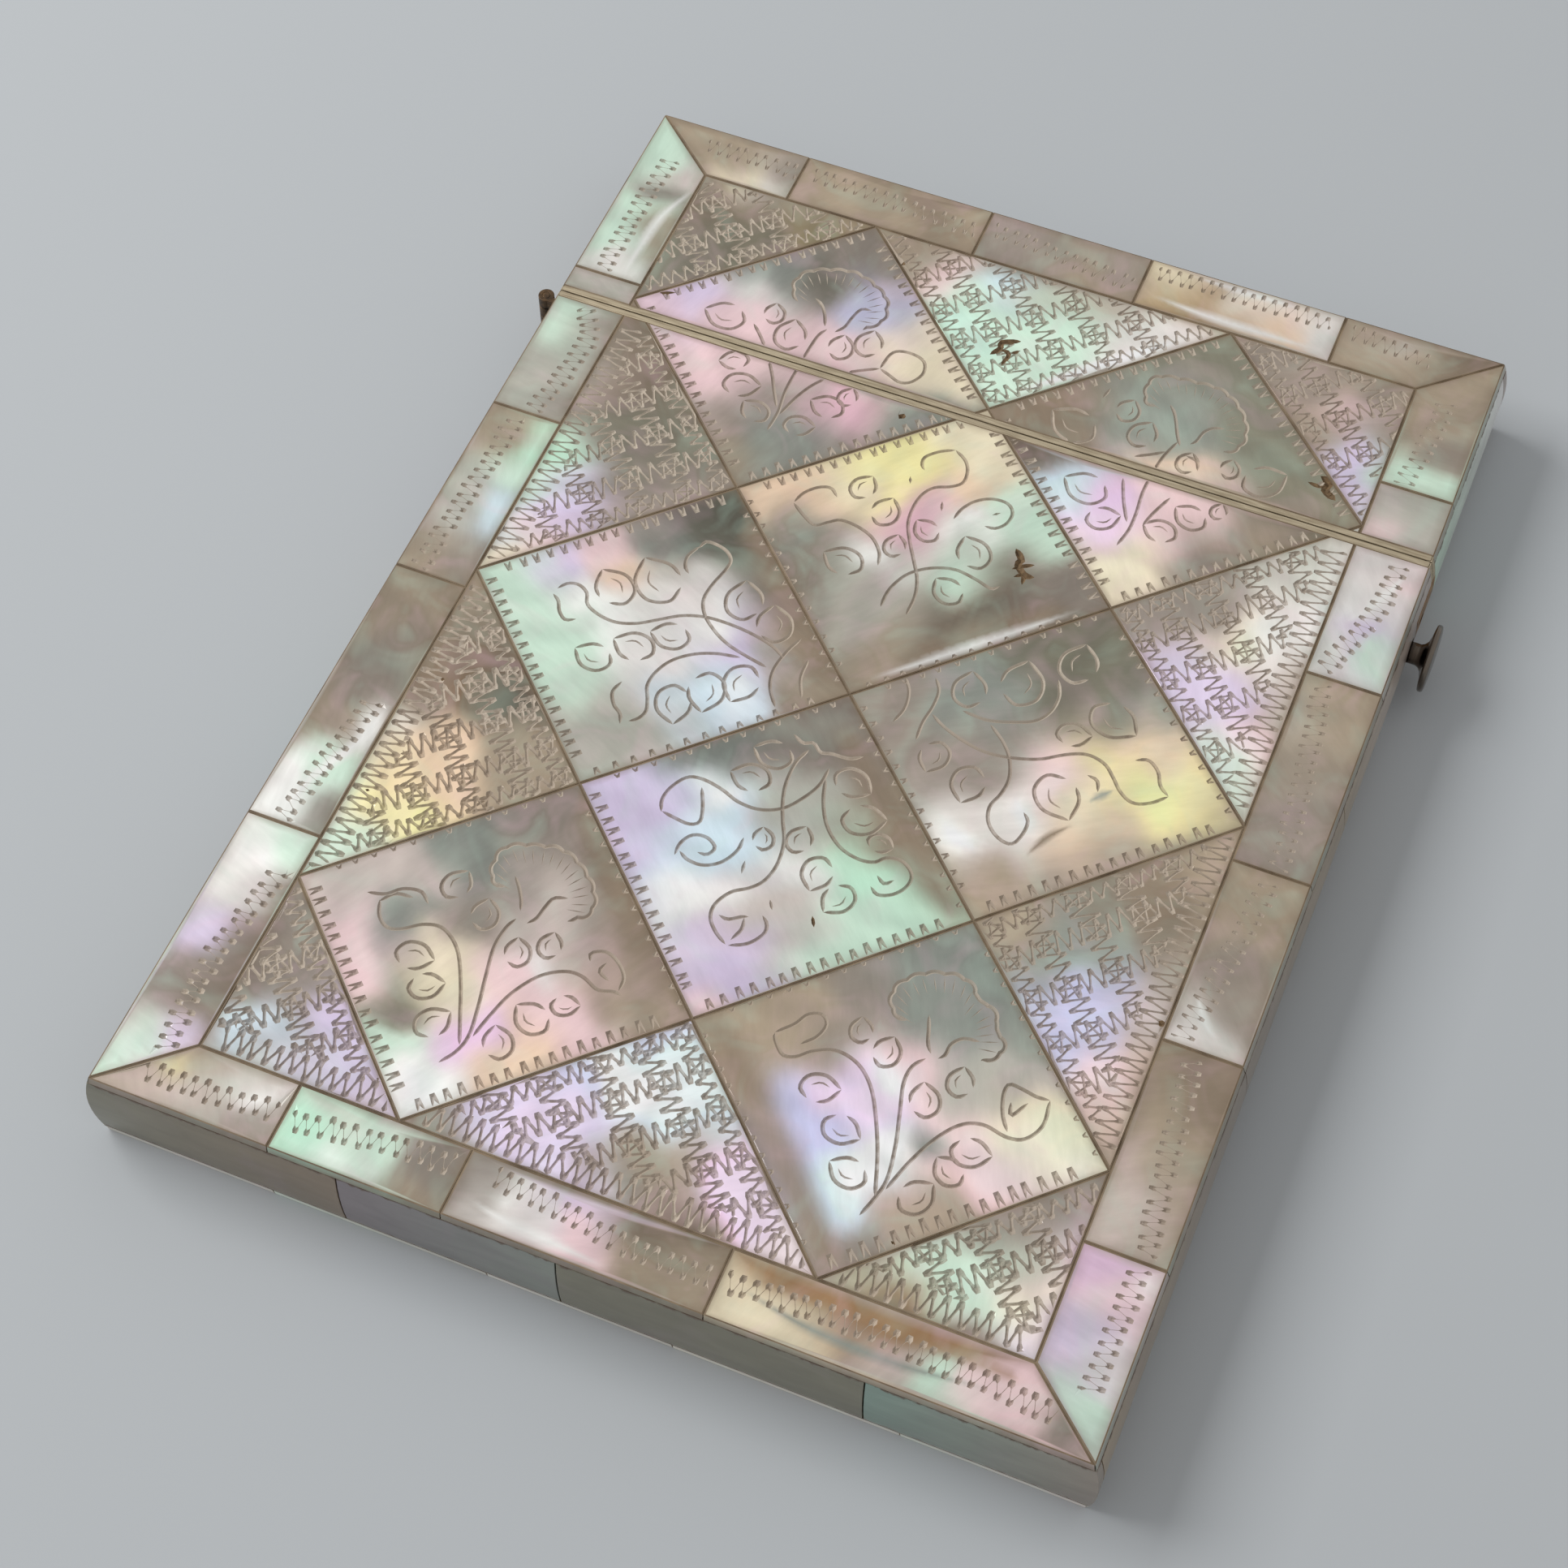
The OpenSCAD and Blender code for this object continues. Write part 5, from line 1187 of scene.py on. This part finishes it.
def polished_nacre():
    """Mother-of-pearl, sawn thin and polished. Broad clouds of tone and painted sheen from the pearl
    attribute, drifts of rose and green over them, faint flame-like growth bands a few mm apart,
    hair-fine silk streaks under 1 mm, a green tint at grazing angles, and a clear gloss over a soft
    sheen."""
    material, tree = blank_material("polished nacre")
    pearl = add_node(tree, "Attribute", "Color", attribute_name="pearl")
    lie = add_node(tree, "Attribute", "Vector", attribute_name="lie")
    drift = add_node(tree, "TexNoise", Vector=lie, Scale=0.2, Detail=2.0, Distortion=1.2)
    flame = add_node(
        tree,
        "TexWave",
        "Fac",
        wave_type="BANDS",
        bands_direction="DIAGONAL",
        Vector=lie,
        Scale=0.09,
        Distortion=9.0,
        Detail=3.0,
        Detail_Scale=0.9,
    )
    drawn_out = add_node(tree, "Mapping", Vector=lie, Scale=(1.0, 0.22, 1.0))
    silk = add_node(tree, "TexNoise", Vector=drawn_out, Scale=1.6, Detail=4.0, Roughness=0.6)
    facing = add_node(tree, "LayerWeight", "Facing", Blend=0.35)
    colour = tinted(tree, pearl, linear("#EBC0CF"), drift, 0.52, 0.78, 0, 0.2)
    colour = tinted(tree, colour, linear("#BCDCC8"), drift, 0.48, 0.26, 0, 0.18)
    colour = shaded(tree, colour, flame, 0, 1, 0.9, 1.03)
    colour = shaded(tree, colour, silk, 0.3, 0.7, 0.95, 1.05)
    colour = tinted(tree, colour, linear("#CFE3D8"), facing, 0.35, 0.9, 0, 0.35)
    swell = add_node(tree, "TexNoise", Vector=lie, Scale=0.22, Detail=1.0)
    normal = add_node(tree, "Bump", Strength=1.0, Distance=0.06 * MM, Height=swell)
    shader = add_node(
        tree,
        "BsdfPrincipled",
        Base_Color=colour,
        Metallic=0.15,
        Roughness=0.32,
        Normal=normal,
        Coat_Weight=0.35,
        Coat_Roughness=0.1,
    )
    add_node(tree, "OutputMaterial", Surface=shader)
    return material


def cut_nacre():
    """Mother-of-pearl where the graver has opened it: matte and dusty grey-brown, darker than pale
    shell and paler than dark shell, with a little of the plaque's tone."""
    material, tree = blank_material("graver-cut nacre")
    pearl = add_node(tree, "Attribute", "Color", attribute_name="pearl")
    paleness = add_node(tree, "RGBToBW", Color=pearl)
    dirt = tinted(tree, linear("#C3B6A6"), linear("#8A7B6C"), paleness, 0.18, 0.42)
    dust = add_node(tree, "TexNoise", Vector=places_mm(tree), Scale=1.6, Detail=2.0)
    colour = tinted(tree, pearl, dirt, dust, 0.35, 0.65, 0.6, 0.85)
    shader = add_node(tree, "BsdfPrincipled", Base_Color=colour, Roughness=0.75)
    add_node(tree, "OutputMaterial", Surface=shader)
    return material


def edge_nacre():
    """The shell of the narrow sides: the pearl attribute's tones from plaque to plaque, faint
    streaks that run along the side, worn smooth, and a ragged brown line of old glue at both of
    its edges, from about 3 mm off the middle of the case's thickness."""
    material, tree = blank_material("worn edge nacre")
    pearl = add_node(tree, "Attribute", "Color", attribute_name="pearl")
    place = places_mm(tree)
    drawn_out = add_node(tree, "Mapping", Vector=place, Scale=(0.3, 0.3, 1.2))
    streak = add_node(tree, "TexNoise", Vector=drawn_out, Scale=0.5, Detail=3.0, Distortion=0.8)
    colour = shaded(tree, pearl, streak, 0.3, 0.7, 0.78, 0.97)
    drift = add_node(tree, "TexNoise", Vector=place, Scale=0.14, Detail=2.0, Distortion=1.0)
    colour = tinted(tree, colour, linear("#9C8794"), drift, 0.5, 0.72, 0, 0.15)
    ragged = add_node(tree, "TexNoise", Vector=place, Scale=1.3, Detail=3.0)
    height = add_node(tree, "SeparateXYZ", "Z", Vector=place)
    level = add_node(tree, "Math", operation="SUBTRACT", _0=height, _1=CASE_T / 2)
    off_middle = add_node(tree, "Math", operation="ABSOLUTE", _0=level)
    reach = add_node(tree, "Math", operation="MULTIPLY_ADD", _0=ragged, _1=1.1, _2=off_middle)
    colour = tinted(tree, colour, linear("#5A4431"), reach, 3.68, 3.9, 0, 0.85)
    swell = add_node(tree, "TexNoise", Vector=place, Scale=0.3, Detail=2.0)
    normal = add_node(tree, "Bump", Strength=1.0, Distance=0.05 * MM, Height=swell)
    shader = add_node(
        tree,
        "BsdfPrincipled",
        Base_Color=colour,
        Metallic=0.12,
        Roughness=0.34,
        Normal=normal,
        Coat_Weight=0.35,
        Coat_Roughness=0.12,
    )
    add_node(tree, "OutputMaterial", Surface=shader)
    return material


def ribbed_silk():
    """Dyed silk with a fine rib across it: ribs 0.35 mm apart, drawn a little coarser than real so
    that they show, a soft sheen at grazing angles."""
    material, tree = blank_material("ribbed silk")
    place = places_mm(tree)
    slow = add_node(tree, "TexNoise", Vector=place, Scale=0.12, Detail=2.0)
    colour = tinted(tree, linear("#5A1620"), linear("#7A2530"), slow, 0.3, 0.7)
    waves = {"wave_type": "BANDS", "bands_direction": "Y"}
    rib = add_node(tree, "TexWave", "Fac", **waves, Vector=place, Scale=0.9, Distortion=0.4)
    colour = tinted(tree, colour, linear("#3A0C14"), rib, 0, 1, 0.25, 0)
    normal = add_node(tree, "Bump", Strength=0.6, Distance=0.05 * MM, Height=rib)
    shine = {"Roughness": 0.55, "Sheen_Weight": 0.4, "Sheen_Roughness": 0.4}
    shader = add_node(tree, "BsdfPrincipled", Base_Color=colour, Normal=normal, **shine)
    add_node(tree, "OutputMaterial", Surface=shader)
    return material


# The stretch of marks that are as long one way as another
EVEN = (1, 1, 1)


def mottled(name, dark, light, scale_per_mm, stretch, bump_mm, **shine):
    """A general worked surface: two tones mixed by noise of a real size, with a shallow bump. The
    stretch multiplies the places along each axis, so the marks are long where it is small."""
    material, tree = blank_material(name)
    drawn_out = add_node(tree, "Mapping", Vector=places_mm(tree), Scale=stretch)
    mix = add_node(tree, "TexNoise", Vector=drawn_out, Scale=scale_per_mm, Detail=4.0, Roughness=0.6)
    colour = tinted(tree, linear(dark), linear(light), mix, 0.3, 0.7)
    normal = add_node(tree, "Bump", Strength=1.0, Distance=bump_mm * MM, Height=mix)
    shader = add_node(tree, "BsdfPrincipled", Base_Color=colour, Normal=normal, **shine)
    add_node(tree, "OutputMaterial", Surface=shader)
    return material


def stained_pit():
    """Old dirt and shellac in a pit of the shell, dull and dark brown."""
    return mottled("stained pit", "#4F3C26", "#82694A", 2.5, EVEN, 0.01, Roughness=0.8)


def dried_glue():
    """Animal glue, dried brown and dull in the joints."""
    return mottled("dried animal glue", "#57452F", "#86735A", 0.35, EVEN, 0.01, Roughness=0.6)


def planed_wood():
    """Thin mahogany boards, planed, with grain along the case."""
    return mottled("planed mahogany", "#5B341D", "#8A5A36", 0.9, (3, 0.25, 3), 0.02, Roughness=0.55)


def worn_gilt():
    """Gilt strip worn dull and pale, with lengthwise scuffs."""
    shine = {"Metallic": 0.55, "Roughness": 0.45}
    return mottled("worn gilt strip", "#9A8B72", "#C9BBA0", 1.6, (0.25, 3, 3), 0.006, **shine)


def handled_brass():
    """Rolled brass, browned by handling, still bright enough to shine."""
    shine = {"Metallic": 0.9, "Roughness": 0.36}
    return mottled("handled brass", "#7A5228", "#B8894B", 1.5, EVEN, 0.006, **shine)


def blackened_brass():
    """Hinge brass gone nearly black, with dirt between the knuckles."""
    shine = {"Metallic": 0.6, "Roughness": 0.42}
    return mottled("blackened brass", "#2E261F", "#6A5238", 1.8, EVEN, 0.01, **shine)


def turned_steel():
    """Turned and polished steel, darkened, with faint marks round the button's axis."""
    shine = {"Metallic": 1.0, "Roughness": 0.2}
    return mottled("turned steel", "#5A524B", "#857B70", 0.7, (5, 0.2, 0.2), 0.002, **shine)


# The material of each record slot. The hinge's brass has a finish of its own
SLOT_FINISH = {
    "carcass_wood": planed_wood,
    "lining_silk": ribbed_silk,
    "rim_metal": worn_gilt,
    "fittings_brass": handled_brass,
    "catch_steel": turned_steel,
    "shell_edge": edge_nacre,
}
# Materials made so far, by the function that makes them
MADE = {}


def material_of(finish):
    """The material that a finish's function makes, made once."""
    if finish not in MADE:
        MADE[finish] = finish()
    return MADE[finish]


def finish_of(node):
    """The finish that a CAD node takes: its slot's, or blackened brass for the hinge."""
    return blackened_brass if "hinge" in node else SLOT_FINISH[SLOT_OF[node]]


# Pieces from CAD forms


def finished_copy(node, bevel_mm, angle=0.5, slice_mm=None):
    """A joined copy of a CAD node with its flat faces merged, its round faces shaded smooth and its
    sharp edges broken by a small bevel. It may be sliced across at even steps of its length."""
    mesh = joined_mesh(node)
    bmesh.ops.dissolve_limit(
        mesh, angle_limit=math.radians(0.3), verts=mesh.verts, edges=mesh.edges, delimit={"NORMAL"}
    )
    if slice_mm:
        low, high = corners_mm(node)
        across = Vector((0, 1, 0)) if high[1] - low[1] > high[0] - low[0] else Vector((1, 0, 0))
        for at in np.arange(Vector(low) @ across + slice_mm, Vector(high) @ across, slice_mm):
            shell = [*mesh.verts, *mesh.edges, *mesh.faces]
            bmesh.ops.bisect_plane(mesh, geom=shell, plane_co=across * at * MM, plane_no=across)
    data = mesh_data(mesh, "finished_" + node)
    data.shade_smooth()
    data.set_sharp_from_angle(angle=angle)
    data.materials.clear()
    data.materials.append(material_of(finish_of(node)))
    piece = bpy.data.objects.new("finished_" + node, data)
    bpy.context.scene.collection.objects.link(piece)
    bevel = piece.modifiers.new("broken edges", "BEVEL")
    bevel.width, bevel.segments = bevel_mm * MM, 2
    bevel.limit_method, bevel.angle_limit = "ANGLE", angle
    bevel.harden_normals = True
    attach(piece, BODY_OF[node])
    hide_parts(node)
    return piece


def kept_node(node):
    """A CAD node that stays as it is and takes its slot's material."""
    data = frame["nodes"][node].data
    data.materials.clear()
    data.materials.append(material_of(finish_of(node)))


# Tones along the plaques of the side and end strips, from one end of each plaque to the other. The
# plaques are taken in order along the strip
STRIP_TONES = {
    "body_end_veneer": (("olive", "brown"), ("dusk", "slate"), ("olive", "olive"), ("teal", "greige")),
    "lid_end_veneer": (("greige", "tan"), ("olive", "slate"), ("dusk", "greige"), ("tan", "brown")),
    "body_right_side_veneer": (("tan", "greige"), ("greige", "tan"), ("tan", "shell")),
    "lid_right_side_veneer": (("mint", "white"),),
    "body_left_side_veneer": (("olive", "greige"), ("teal", "tan"), ("dusk", "olive")),
    "lid_left_side_veneer": (("greige", "olive"),),
}


def veneer_strip(node):
    """A finished copy of a side strip, sliced across every 1.5 mm, whose colour runs evenly from
    the first tone to the second along each plaque."""
    piece = finished_copy(node, bevel_mm=0.08, slice_mm=1.5)
    points = np.array([v.co for v in piece.data.vertices]) / MM
    axis = int(np.ptp(points[:, 1]) > np.ptp(points[:, 0]))
    colours = np.zeros((len(points), 3))
    plaques = sorted(islands(piece.data), key=lambda island: points[island, axis].mean())
    for island, tones in zip(plaques, STRIP_TONES[node]):
        along = points[island, axis]
        share = ((along - along.min()) / np.ptp(along))[:, None]
        first, second = (np.array(linear(TONES[tone])[:3]) for tone in tones)
        colours[island] = first + share * (second - first)
    paint(piece.data, colours)


def lathe(profile, count):
    """Rings of a closed turned form: each profile point (along, radius) swept round the axis."""
    turn = np.arange(count) * 2 * math.pi / count
    along, radius = np.array(profile, float).T[:, :, None]
    rings = np.broadcast_arrays(along, radius * np.cos(turn), radius * np.sin(turn))
    last = (len(profile) - 1) * count
    faces = ring_faces(len(profile), count, False)[:, ::-1].tolist()
    faces.append(list(range(count)))
    faces.append(list(range(last + count - 1, last - 1, -1)))
    return np.stack(rings, -1).reshape(-1, 3), faces


# Settings


class EngravingSettings(bpy.types.PropertyGroup):
    """How the plaques are cut."""

    cut_width: bpy.props.FloatProperty(
        name="Cut width", description="Width of a full engraved line, in mm", default=0.28, min=0.1, max=0.5
    )
    cut_slope: bpy.props.FloatProperty(
        name="Cut slope", description="Depth gained per mm from a cut's edge", default=0.9, min=0.2, max=2
    )
    edge_width: bpy.props.FloatProperty(
        name="Edge width", description="Width of a plaque's soft edge, in mm", default=0.1, min=0.02, max=0.3
    )
    edge_drop: bpy.props.FloatProperty(
        name="Edge drop", description="Drop of a plaque's soft edge, in mm", default=0.03, min=0, max=0.2
    )
    grid: bpy.props.FloatProperty(
        name="Colour grid", description="Spacing of the colour's points, in mm", default=0.7, min=0.4
    )


class StageSettings(bpy.types.PropertyGroup):
    """Floor, light and camera."""

    floor_colour: bpy.props.FloatVectorProperty(
        name="Floor", description="Colour of the floor", subtype="COLOR", size=4, default=linear("#B3B7BA")
    )
    key_power: bpy.props.FloatProperty(
        name="Key", description="Power of the large soft lamp", unit="POWER", default=3.45
    )
    sky_level: bpy.props.FloatProperty(
        name="Sky", description="Strength of the even light all round", default=0.54
    )
    lens: bpy.props.FloatProperty(
        name="Lens", description="Focal length on a sensor 36 mm wide", unit="CAMERA", default=71.1
    )


# Operators


def engrave(context, nodes, back):
    """Makes the engraved pieces of one face."""
    materials = [material_of(f) for f in (polished_nacre, cut_nacre, stained_pit, dried_glue)]
    for node in nodes:
        engraved_piece(node, back, context.scene.card_case_engraving, materials)


class CARDCASE_OT_front(bpy.types.Operator):
    """Engraved shell plaques of the front"""

    bl_idname = "card_case.front"
    bl_label = "Front plaques"

    def execute(self, context):
        engrave(context, FRONT_NODES, False)
        return {"FINISHED"}


class CARDCASE_OT_back(bpy.types.Operator):
    """Engraved shell plaques of the back"""

    bl_idname = "card_case.back"
    bl_label = "Back plaques"

    def execute(self, context):
        engrave(context, BACK_NODES, True)
        return {"FINISHED"}


class CARDCASE_OT_glue(bpy.types.Operator):
    """Dried glue in the joints between the plaques"""

    bl_idname = "card_case.glue"
    bl_label = "Glue lines"

    def execute(self, context):
        for back, nodes in ((False, FRONT_NODES), (True, BACK_NODES)):
            for body in ("body", "lid"):
                own = [n for n in nodes if BODY_OF[n] == body]
                glue_beads(own, back, body, material_of(dried_glue))
        return {"FINISHED"}


class CARDCASE_OT_sides(bpy.types.Operator):
    """Swelling shell plaques of the narrow sides and ends"""

    bl_idname = "card_case.sides"
    bl_label = "Side plaques"

    def execute(self, context):
        for node in STRIP_TONES:
            veneer_strip(node)
        return {"FINISHED"}


class CARDCASE_OT_rims(bpy.types.Operator):
    """Metal strips along the split"""

    bl_idname = "card_case.rims"
    bl_label = "Rims"

    def execute(self, context):
        for node in ("body_rim", "lid_rim"):
            finished_copy(node, bevel_mm=0.06)
        return {"FINISHED"}


class CARDCASE_OT_fittings(bpy.types.Operator):
    """Hinge, tongue and rivets"""

    bl_idname = "card_case.fittings"
    bl_label = "Hinge and tongue"

    def execute(self, context):
        for node in (n for n in SLOT_OF if SLOT_OF[n] == "fittings_brass"):
            finished_copy(node, bevel_mm=0.05)
        for node in ("catch_spring", "catch_nib"):
            finished_copy(node, bevel_mm=0.04)
        return {"FINISHED"}


class CARDCASE_OT_button(bpy.types.Operator):
    """Turned push button"""

    bl_idname = "card_case.button"
    bl_label = "Push button"

    def execute(self, context):
        points = np.array([v.co for v in frame["nodes"]["push_button"].data.vertices]) / MM
        low, high = points.min(0), points.max(0)
        middle = (low + high) / 2
        radius = np.hypot(*(points - middle)[:, 1:].T)
        head, x = radius.max(), high[0]
        neck = radius[points[:, 0] < x - 1.5].max()
        peg = radius[points[:, 0] < low[0] + 0.01].max()
        foot = points[radius > peg + 0.05, 0].min()
        # Peg, stem, the flare under the head, its rim and the swelling face, as (along, radius)
        profile = [
            (low[0], peg - 0.04), (low[0] + 0.04, peg), (foot, peg),
            (foot, neck - 0.05), (foot + 0.05, neck), (x - 1.35, neck),
            (x - 1.1, neck + 0.12), (x - 0.88, neck + 0.4), (x - 0.75, neck + 0.85),
            (x - 0.67, head - 0.5), (x - 0.6, head - 0.1), (x - 0.5, head), (x - 0.28, head),
            (x - 0.15, head - 0.1), (x - 0.09, head - 0.35), (x - 0.03, head * 0.6), (x, head * 0.3),
            (x, 0.02),
        ]
        turning, faces = lathe(profile, 64)
        turning += [0, middle[1], middle[2]]
        name, steel = "turned_push_button", [material_of(turned_steel)]
        piece = new_piece(name, turning, faces, "catch", steel)
        piece.data.shade_smooth()
        piece.data.set_sharp_from_angle(angle=0.7)
        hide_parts("push_button")
        return {"FINISHED"}


class CARDCASE_OT_carcass(bpy.types.Operator):
    """Wooden boards and silk-covered linings"""

    bl_idname = "card_case.carcass"
    bl_label = "Carcass and lining"

    def execute(self, context):
        for node, slot in SLOT_OF.items():
            if slot == "carcass_wood":
                kept_node(node)
            elif slot == "lining_silk":
                finished_copy(node, bevel_mm=0.05)
        return {"FINISHED"}


# How far the floor reaches, the lamp's size and place and the camera's place, in metres, and the
# directions to the camera's right and ahead
FLOOR_REACH = 2
LAMP_SIZE = (0.5, 0.35)
LAMP_PLACE = (-0.5, 0.02, 0.5)
EYE_PLACE = (0.04868, -0.13103, 0.20984)
EYE_RIGHT = (0.9248, 0.3805, -0.0019)
EYE_AHEAD = (-0.2090, 0.5038, -0.8381)


def paper_floor(look):
    """Matte pale paper. It is clear from below, and to light that has come from the back of the case
    on it, less than 1 mm away, so that the back is lit and seen from below."""
    material, tree = blank_material("matte paper floor")
    paper = add_node(tree, "BsdfPrincipled", Base_Color=look.floor_colour, Roughness=0.9)
    below = add_node(tree, "NewGeometry", "Backfacing")
    run = add_node(tree, "LightPath", "Ray Length")
    close = add_node(tree, "Math", operation="LESS_THAN", _0=run, _1=1 * MM)
    share = add_node(tree, "Math", operation="MAXIMUM", _0=below, _1=close)
    mix = add_node(tree, "MixShader", _0=share, _1=paper, _2=add_node(tree, "BsdfTransparent"))
    add_node(tree, "OutputMaterial", Surface=mix)
    return material


class CARDCASE_OT_stage(bpy.types.Operator):
    """Floor, lamps and camera"""

    bl_idname = "card_case.stage"
    bl_label = "Stage"

    def execute(self, context):
        scene, look = context.scene, context.scene.card_case_stage
        mesh = bpy.data.meshes.new("floor")
        corners = [(x * FLOOR_REACH, y * FLOOR_REACH, 0) for x, y in ((-1, -1), (1, -1), (1, 1), (-1, 1))]
        mesh.from_pydata(corners, [], [(0, 1, 2, 3)])
        mesh.materials.append(paper_floor(look))
        floor = bpy.data.objects.new("floor", mesh)
        scene.collection.objects.link(floor)
        world = bpy.data.worlds.new("even sky")
        world.use_nodes = True
        sky = world.node_tree.nodes["Background"]
        sky.inputs["Color"].default_value = linear("#FFFFFF")
        sky.inputs["Strength"].default_value = look.sky_level
        scene.world = world
        lamp = bpy.data.lights.new("large soft lamp", "AREA")
        lamp.shape = "RECTANGLE"
        lamp.size, lamp.size_y = LAMP_SIZE
        lamp.energy = look.key_power
        key = bpy.data.objects.new("large soft lamp", lamp)
        key.location = LAMP_PLACE
        key.rotation_euler = (-key.location).to_track_quat("-Z", "Y").to_euler()
        scene.collection.objects.link(key)
        camera = bpy.data.cameras.new("camera")
        camera.lens, camera.sensor_width = look.lens, 36
        camera.clip_start, camera.clip_end = 0.01, 10
        eye = bpy.data.objects.new("camera", camera)
        right, ahead = Vector(EYE_RIGHT).normalized(), Vector(EYE_AHEAD).normalized()
        up = right.cross(ahead)
        rows = [[right[i], up[i], -ahead[i], EYE_PLACE[i]] for i in range(3)]
        eye.matrix_world = Matrix([*rows, [0, 0, 0, 1]])
        scene.collection.objects.link(eye)
        scene.camera = eye
        scene.view_settings.view_transform = "Standard"
        return {"FINISHED"}


class CARDCASE_PT_panel(bpy.types.Panel):
    """Lists the pieces of the card case"""

    bl_idname = "CARDCASE_PT_panel"
    bl_label = "Card case"
    bl_space_type = "VIEW_3D"
    bl_region_type = "UI"
    bl_category = "Card case"

    def draw(self, context):
        for settings in (context.scene.card_case_engraving, context.scene.card_case_stage):
            for name in settings.__annotations__:
                self.layout.prop(settings, name)
        for operator in OPERATORS:
            self.layout.operator(operator.bl_idname)


OPERATORS = (
    CARDCASE_OT_front,
    CARDCASE_OT_back,
    CARDCASE_OT_glue,
    CARDCASE_OT_sides,
    CARDCASE_OT_rims,
    CARDCASE_OT_fittings,
    CARDCASE_OT_button,
    CARDCASE_OT_carcass,
    CARDCASE_OT_stage,
)
CLASSES = (EngravingSettings, StageSettings, *OPERATORS, CARDCASE_PT_panel)


def register():
    for cls in CLASSES:
        bpy.utils.register_class(cls)
    bpy.types.Scene.card_case_engraving = bpy.props.PointerProperty(type=EngravingSettings)
    bpy.types.Scene.card_case_stage = bpy.props.PointerProperty(type=StageSettings)


def unregister():
    del bpy.types.Scene.card_case_stage
    del bpy.types.Scene.card_case_engraving
    for cls in reversed(CLASSES):
        bpy.utils.unregister_class(cls)


def main():
    """Builds every piece and the stage."""
    register()
    bpy.ops.card_case.front()
    bpy.ops.card_case.back()
    bpy.ops.card_case.glue()
    bpy.ops.card_case.sides()
    bpy.ops.card_case.rims()
    bpy.ops.card_case.fittings()
    bpy.ops.card_case.button()
    bpy.ops.card_case.carcass()
    bpy.ops.card_case.stage()


if __name__ == "__main__":
    main()
